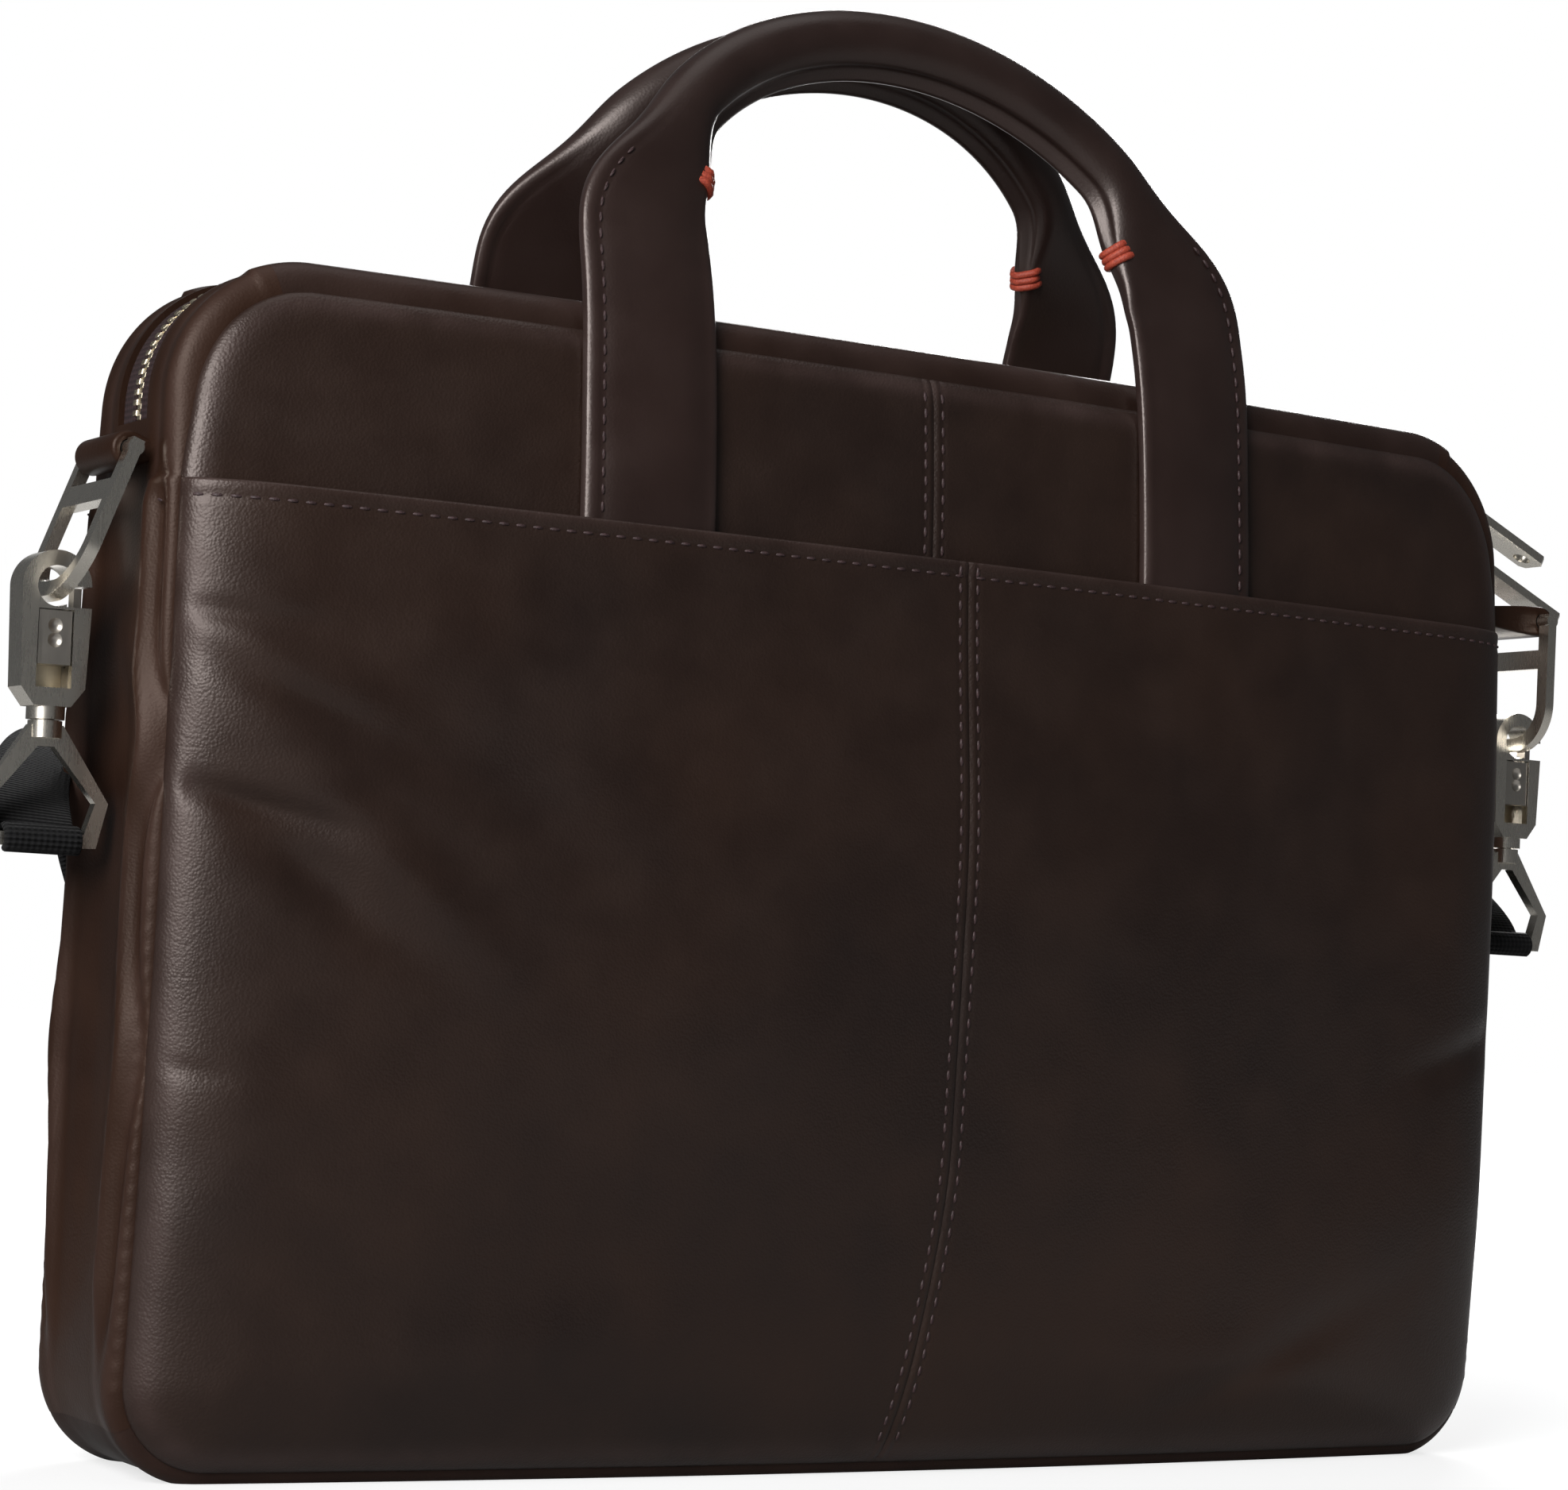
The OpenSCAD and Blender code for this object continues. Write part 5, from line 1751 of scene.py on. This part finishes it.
    def web_line(self) -> tuple[Array, Array]:
        """Middle line of the shoulder strap behind the bag, with the direction across it.

        It is wrapped round the bar of the left frame, hangs down in a bow and ends round the bar of the right frame.

        Returns:
            Points and directions.
        """
        s = np.linspace(0, 1, 281)
        q, left = np.minimum(s, 1 - s), s < 0.5
        start = np.where(left[:, None], self.frame_bar(Side.LEFT), self.frame_bar(Side.RIGHT))
        k = np.clip(q / self.rise, 0, 1)
        turn = np.maximum(0, (q - self.rise) / (0.5 - self.rise)) * np.pi / 2
        y = self.wrap_r + (self.web_y - self.wrap_r) * smooth_step(k)
        first_z = start[:, 2] - self.bar_half
        up = first_z + (self.web_top - first_z) * np.sin(np.pi / 2 * k)
        z = np.where(k < 1, up, self.web_low + (self.web_top - self.web_low) * (1 - np.sin(turn)))
        near = np.where(left, self.web_x[Side.LEFT], self.web_x[Side.RIGHT])
        x = np.where(k < 1, start[:, 0] + (near - start[:, 0]) * smooth_step(k) ** 2, near * np.cos(turn))
        sign = np.where(left, 1, -1)
        across = stacked(sign * np.cos(turn), 0.0, np.sin(turn))
        line = stacked(x, y, z)
        reach = 18
        weight = bell(np.arange(-reach, reach + 1), 0, 7.0)
        wide = np.pad(line, ((reach, reach), (0, 0)), mode="edge")
        soft = np.stack([np.convolve(wide[:, k], weight / weight.sum(), "valid") for k in range(3)], axis=-1)
        number = np.arange(len(s))
        keep = smooth_step(np.minimum(number, number[::-1]) / 14.0)[:, None]
        return line + (soft - line) * keep, across

    @property
    def wrap_r(self) -> float:
        """Distance of the webbing's middle layer from the middle of a frame's bar."""
        return self.bar_half + self.web_t / 2 + self.run

    def frame_bar(self, side: Side) -> Array:
        """Middle of the bar of a strap frame, below the eye of its hook. The left frame leans a little."""
        lean = math.sin(math.radians(self.left_lean)) if side is Side.LEFT else 0.0
        return np.array(self.eyes[side]) + np.array([lean, 0, -1]) * self.frame_drop

    def wrap(self, side: Side) -> Array:
        """Short length of strap round the bar of a frame, from below it, up in front, over the bar, to the back.

        Args:
            side: left or right.

        Returns:
            Points of its middle line.
        """
        a = np.linspace(-2.7, np.pi / 2, 24)
        return self.frame_bar(side) + self.wrap_r * stacked(0.0, np.sin(a), np.cos(a))

    def ribbon(self, points: Array, across: Array) -> list[Patch]:
        """Flat woven strap with rounded edges along a line.

        Args:
            points: middle line.
            across: direction across the strap at each point.

        Returns:
            The patches.
        """
        along = unit(np.gradient(points, axis=0))
        across = unit(across - along * (across * along).sum(axis=1, keepdims=True))
        face = np.cross(along, across)
        flat = self.web_half - self.web_round
        row = np.linspace(-1, 1, 9) * flat
        bend = np.linspace(-np.pi / 2, np.pi / 2, 5)[1:-1]
        edge = flat + self.web_round * np.cos(bend)
        w = np.concatenate([row, edge, row[::-1], -edge])
        level = np.ones_like(row)
        t = np.concatenate([-level, np.sin(bend), level, -np.sin(bend)]) * self.web_t / 2
        rings = points[:, None] + across[:, None] * w[None, :, None] + face[:, None] * t[None, :, None]
        uv = stacked(run_of(points)[:, None], w[None, :]) * MM
        return tube(rings, uv=uv)

    def strap(self) -> None:
        """Shoulder strap with its wraps round both frames."""
        line, across = self.web_line()
        patches = self.ribbon(line, across)
        for side in Side:
            bend = self.wrap(side)
            patches += self.ribbon(bend, np.tile([1.0, 0, 0], (len(bend), 1)))
        piece = make_piece("shoulder_strap_web", patches, self.finishes.of(Finish.WEB))
        self.on_bag(piece, "strap_web")

    def metal(self) -> None:
        """Gives the metal parts and the board of the frame their finishes and eased edges."""
        kinds = {Finish.NICKEL: ("ring_left", "ring_right", "hook_left", "hook_right", "frame_left", "frame_right",
                                 "slider_a", "slider_b", "pull_a", "pull_b", "strap_slide"),
                 Finish.DARK_NICKEL: ("gate_left", "gate_right"), Finish.BRASS: ("track_left", "track_right"),
                 Finish.BOARD: ("base_board",)}
        for finish, names in kinds.items():
            for name in names:
                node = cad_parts[name]
                node.data.materials.clear()
                node.data.materials.append(self.finishes.of(finish)[0])
                bevel = node.modifiers.new("eased_edges", "BEVEL")
                bevel.width, bevel.segments = self.bevel * MM, 2
                bevel.angle_limit = math.radians(self.bevel_from)

    def build(self) -> None:
        """Makes loops, lining and strap and finishes the metal."""
        for side in Side:
            self.loop(side)
        self.lining()
        self.strap()
        self.metal()


@dataclass
class Studio:
    """Pale stage, soft lights and the camera of the photograph."""

    floor: Colour = (0.36, 0.36, 0.36, 1)
    fade: tuple[float, float] = (0.3, 1.0)
    glow: float = 0.7
    ambient: float = 0.09
    mirror: tuple[float, float] = (0.86, 0.97)
    eye: Point = (-523.7, -845.6, 121.7)
    yaw: float = 30.864
    pitch: float = 3.59
    roll: float = 2.936
    lens: float = 87.2
    # Soft boxes: name, place, aim, size and power.
    boxes: tuple[tuple[str, Point, Point, tuple[float, float], float], ...] = (
        ("key_box", (-1.5, -1.1, 1.0), (-0.05, 0, 0.15), (0.9, 1.4), 52),
        ("top_box", (0.1, -0.2, 2.2), (0.0, 0, 0.1), (1.6, 1.2), 4.5),
        ("rear_box", (1.3, 1.6, 1.0), (0.0, 0, 0.15), (1.0, 1.0), 48))

    @staticmethod
    def seen(tree: Tree, backdrop: object = 1.0) -> bpy.types.NodeSocket:
        """Mask of the rays that show the white stage: of the camera, through glass and, on the backdrop, of mirrors.

        Args:
            tree: tree to add it to.
            backdrop: share of the white backdrop that mirrors show.

        Returns:
            The mask.
        """
        path = tree.add("ShaderNodeLightPath")
        mirror = tree.math("MULTIPLY", path.outputs["Is Glossy Ray"], backdrop)
        bright = tree.math("MAXIMUM", path.outputs["Is Camera Ray"], mirror)
        return tree.math("MAXIMUM", bright, path.outputs["Is Transmission Ray"])

    def along_view(self, tree: Tree, place: bpy.types.NodeSocket) -> bpy.types.NodeSocket:
        """Distance of a place behind the bag, along the direction of the photograph.

        Args:
            tree: tree to add it to.
            place: socket of the place.

        Returns:
            The distance.
        """
        turn = math.radians(self.yaw)
        node = tree.add("ShaderNodeVectorMath", operation="DOT_PRODUCT")
        node.inputs[1].default_value = (math.sin(turn), math.cos(turn), 0.0)
        tree.join(place, node.inputs[0])
        return node.outputs["Value"]

    def ground(self) -> None:
        """Pale floor that keeps the shadow near the bag and turns white further out."""
        material, tree, shader = start_material("stage_white", in_Base_Color=self.floor, in_Roughness=0.9,
                                                in_Specular_IOR_Level=0.0, in_Emission_Color=(1, 1, 1, 1))
        place = tree.add("ShaderNodeTexCoord").outputs["Object"]
        size = tree.add("ShaderNodeVectorMath", operation="LENGTH")
        tree.join(place, size.inputs[0])
        glow = tree.span(size.outputs["Value"], self.fade[0], self.fade[1], self.glow, 1.0)
        back = self.along_view(tree, tree.add("ShaderNodeNewGeometry").outputs["Incoming"])
        behind = tree.span(back, -self.mirror[0], -self.mirror[1])
        tree.join(tree.math("MULTIPLY", glow, self.seen(tree, behind)), shader.inputs["Emission Strength"])
        mesh = bpy.data.meshes.new("stage_floor")
        mesh.from_pydata([(-6, -6, 0), (6, -6, 0), (6, 6, 0), (-6, 6, 0)], [], [(0, 1, 2, 3)])
        mesh.materials.append(material)
        plane = bpy.data.objects.new("stage_floor", mesh)
        bpy.context.scene.collection.objects.link(plane)

    def world(self) -> None:
        """White backdrop behind the bag, and a dim even light from the rest of the room."""
        world = bpy.data.worlds.new("studio")
        world.use_nodes = True
        tree = Tree(world.node_tree)
        white = tree.add("ShaderNodeBackground", in_Color=(1, 1, 1, 1), in_Strength=1.0)
        dim = tree.add("ShaderNodeBackground", in_Color=(0.95, 0.97, 1, 1), in_Strength=self.ambient)
        mix = tree.add("ShaderNodeMixShader")
        way = self.along_view(tree, tree.add("ShaderNodeTexCoord").outputs["Generated"])
        tree.join(self.seen(tree, tree.span(way, *self.mirror)), mix.inputs[0])
        tree.join(dim.outputs[0], mix.inputs[1])
        tree.join(white.outputs[0], mix.inputs[2])
        tree.join(mix.outputs[0], tree.add("ShaderNodeOutputWorld").inputs[0])
        bpy.context.scene.world = world

    @staticmethod
    def light(name: str, place: Point, aim: Point, size: tuple[float, float], power: float) -> None:
        """Soft box.

        Args:
            name: name of the light.
            place: its middle, in metres.
            aim: point that it faces.
            size: width and height.
            power: power in watts.
        """
        data = bpy.data.lights.new(name, "AREA")
        data.shape, data.size, data.size_y, data.energy = "RECTANGLE", size[0], size[1], power
        lamp = bpy.data.objects.new(name, data)
        lamp.location = place
        lamp.rotation_euler = (Vector(aim) - Vector(place)).to_track_quat("-Z", "Y").to_euler()
        bpy.context.scene.collection.objects.link(lamp)

    def camera(self) -> None:
        """Camera in front of the left corner, a little below the middle, as in the photograph."""
        data = bpy.data.cameras.new("photo_camera")
        data.lens, data.sensor_width, data.sensor_fit = self.lens, 36.0, "HORIZONTAL"
        data.clip_start = 0.05
        eye = bpy.data.objects.new("photo_camera", data)
        eye.location = Vector(self.eye) * MM
        eye.rotation_mode = "XYZ"
        angles = ((0, 0, -self.yaw), (90 + self.pitch, 0, 0), (0, 0, self.roll))
        yaw, pitch, roll = (Euler([math.radians(angle) for angle in turn]).to_matrix() for turn in angles)
        eye.rotation_euler = (yaw @ pitch @ roll).to_euler()
        bpy.context.scene.collection.objects.link(eye)
        bpy.context.scene.camera = eye

    def build(self) -> None:
        """Sets the stage."""
        bpy.context.scene.view_settings.view_transform = "Standard"
        self.ground()
        self.world()
        self.camera()
        for box in self.boxes:
            self.light(*box)


def main() -> None:
    """Builds the looks over the frame."""
    logging.basicConfig(level=logging.INFO)
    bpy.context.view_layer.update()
    form, finishes = BagForm(), Finishes()
    for maker in (Panels, Edges, Zip, Handles, Fittings):
        maker(form, finishes).build()
    Studio().build()


if __name__ == "__main__":
    main()
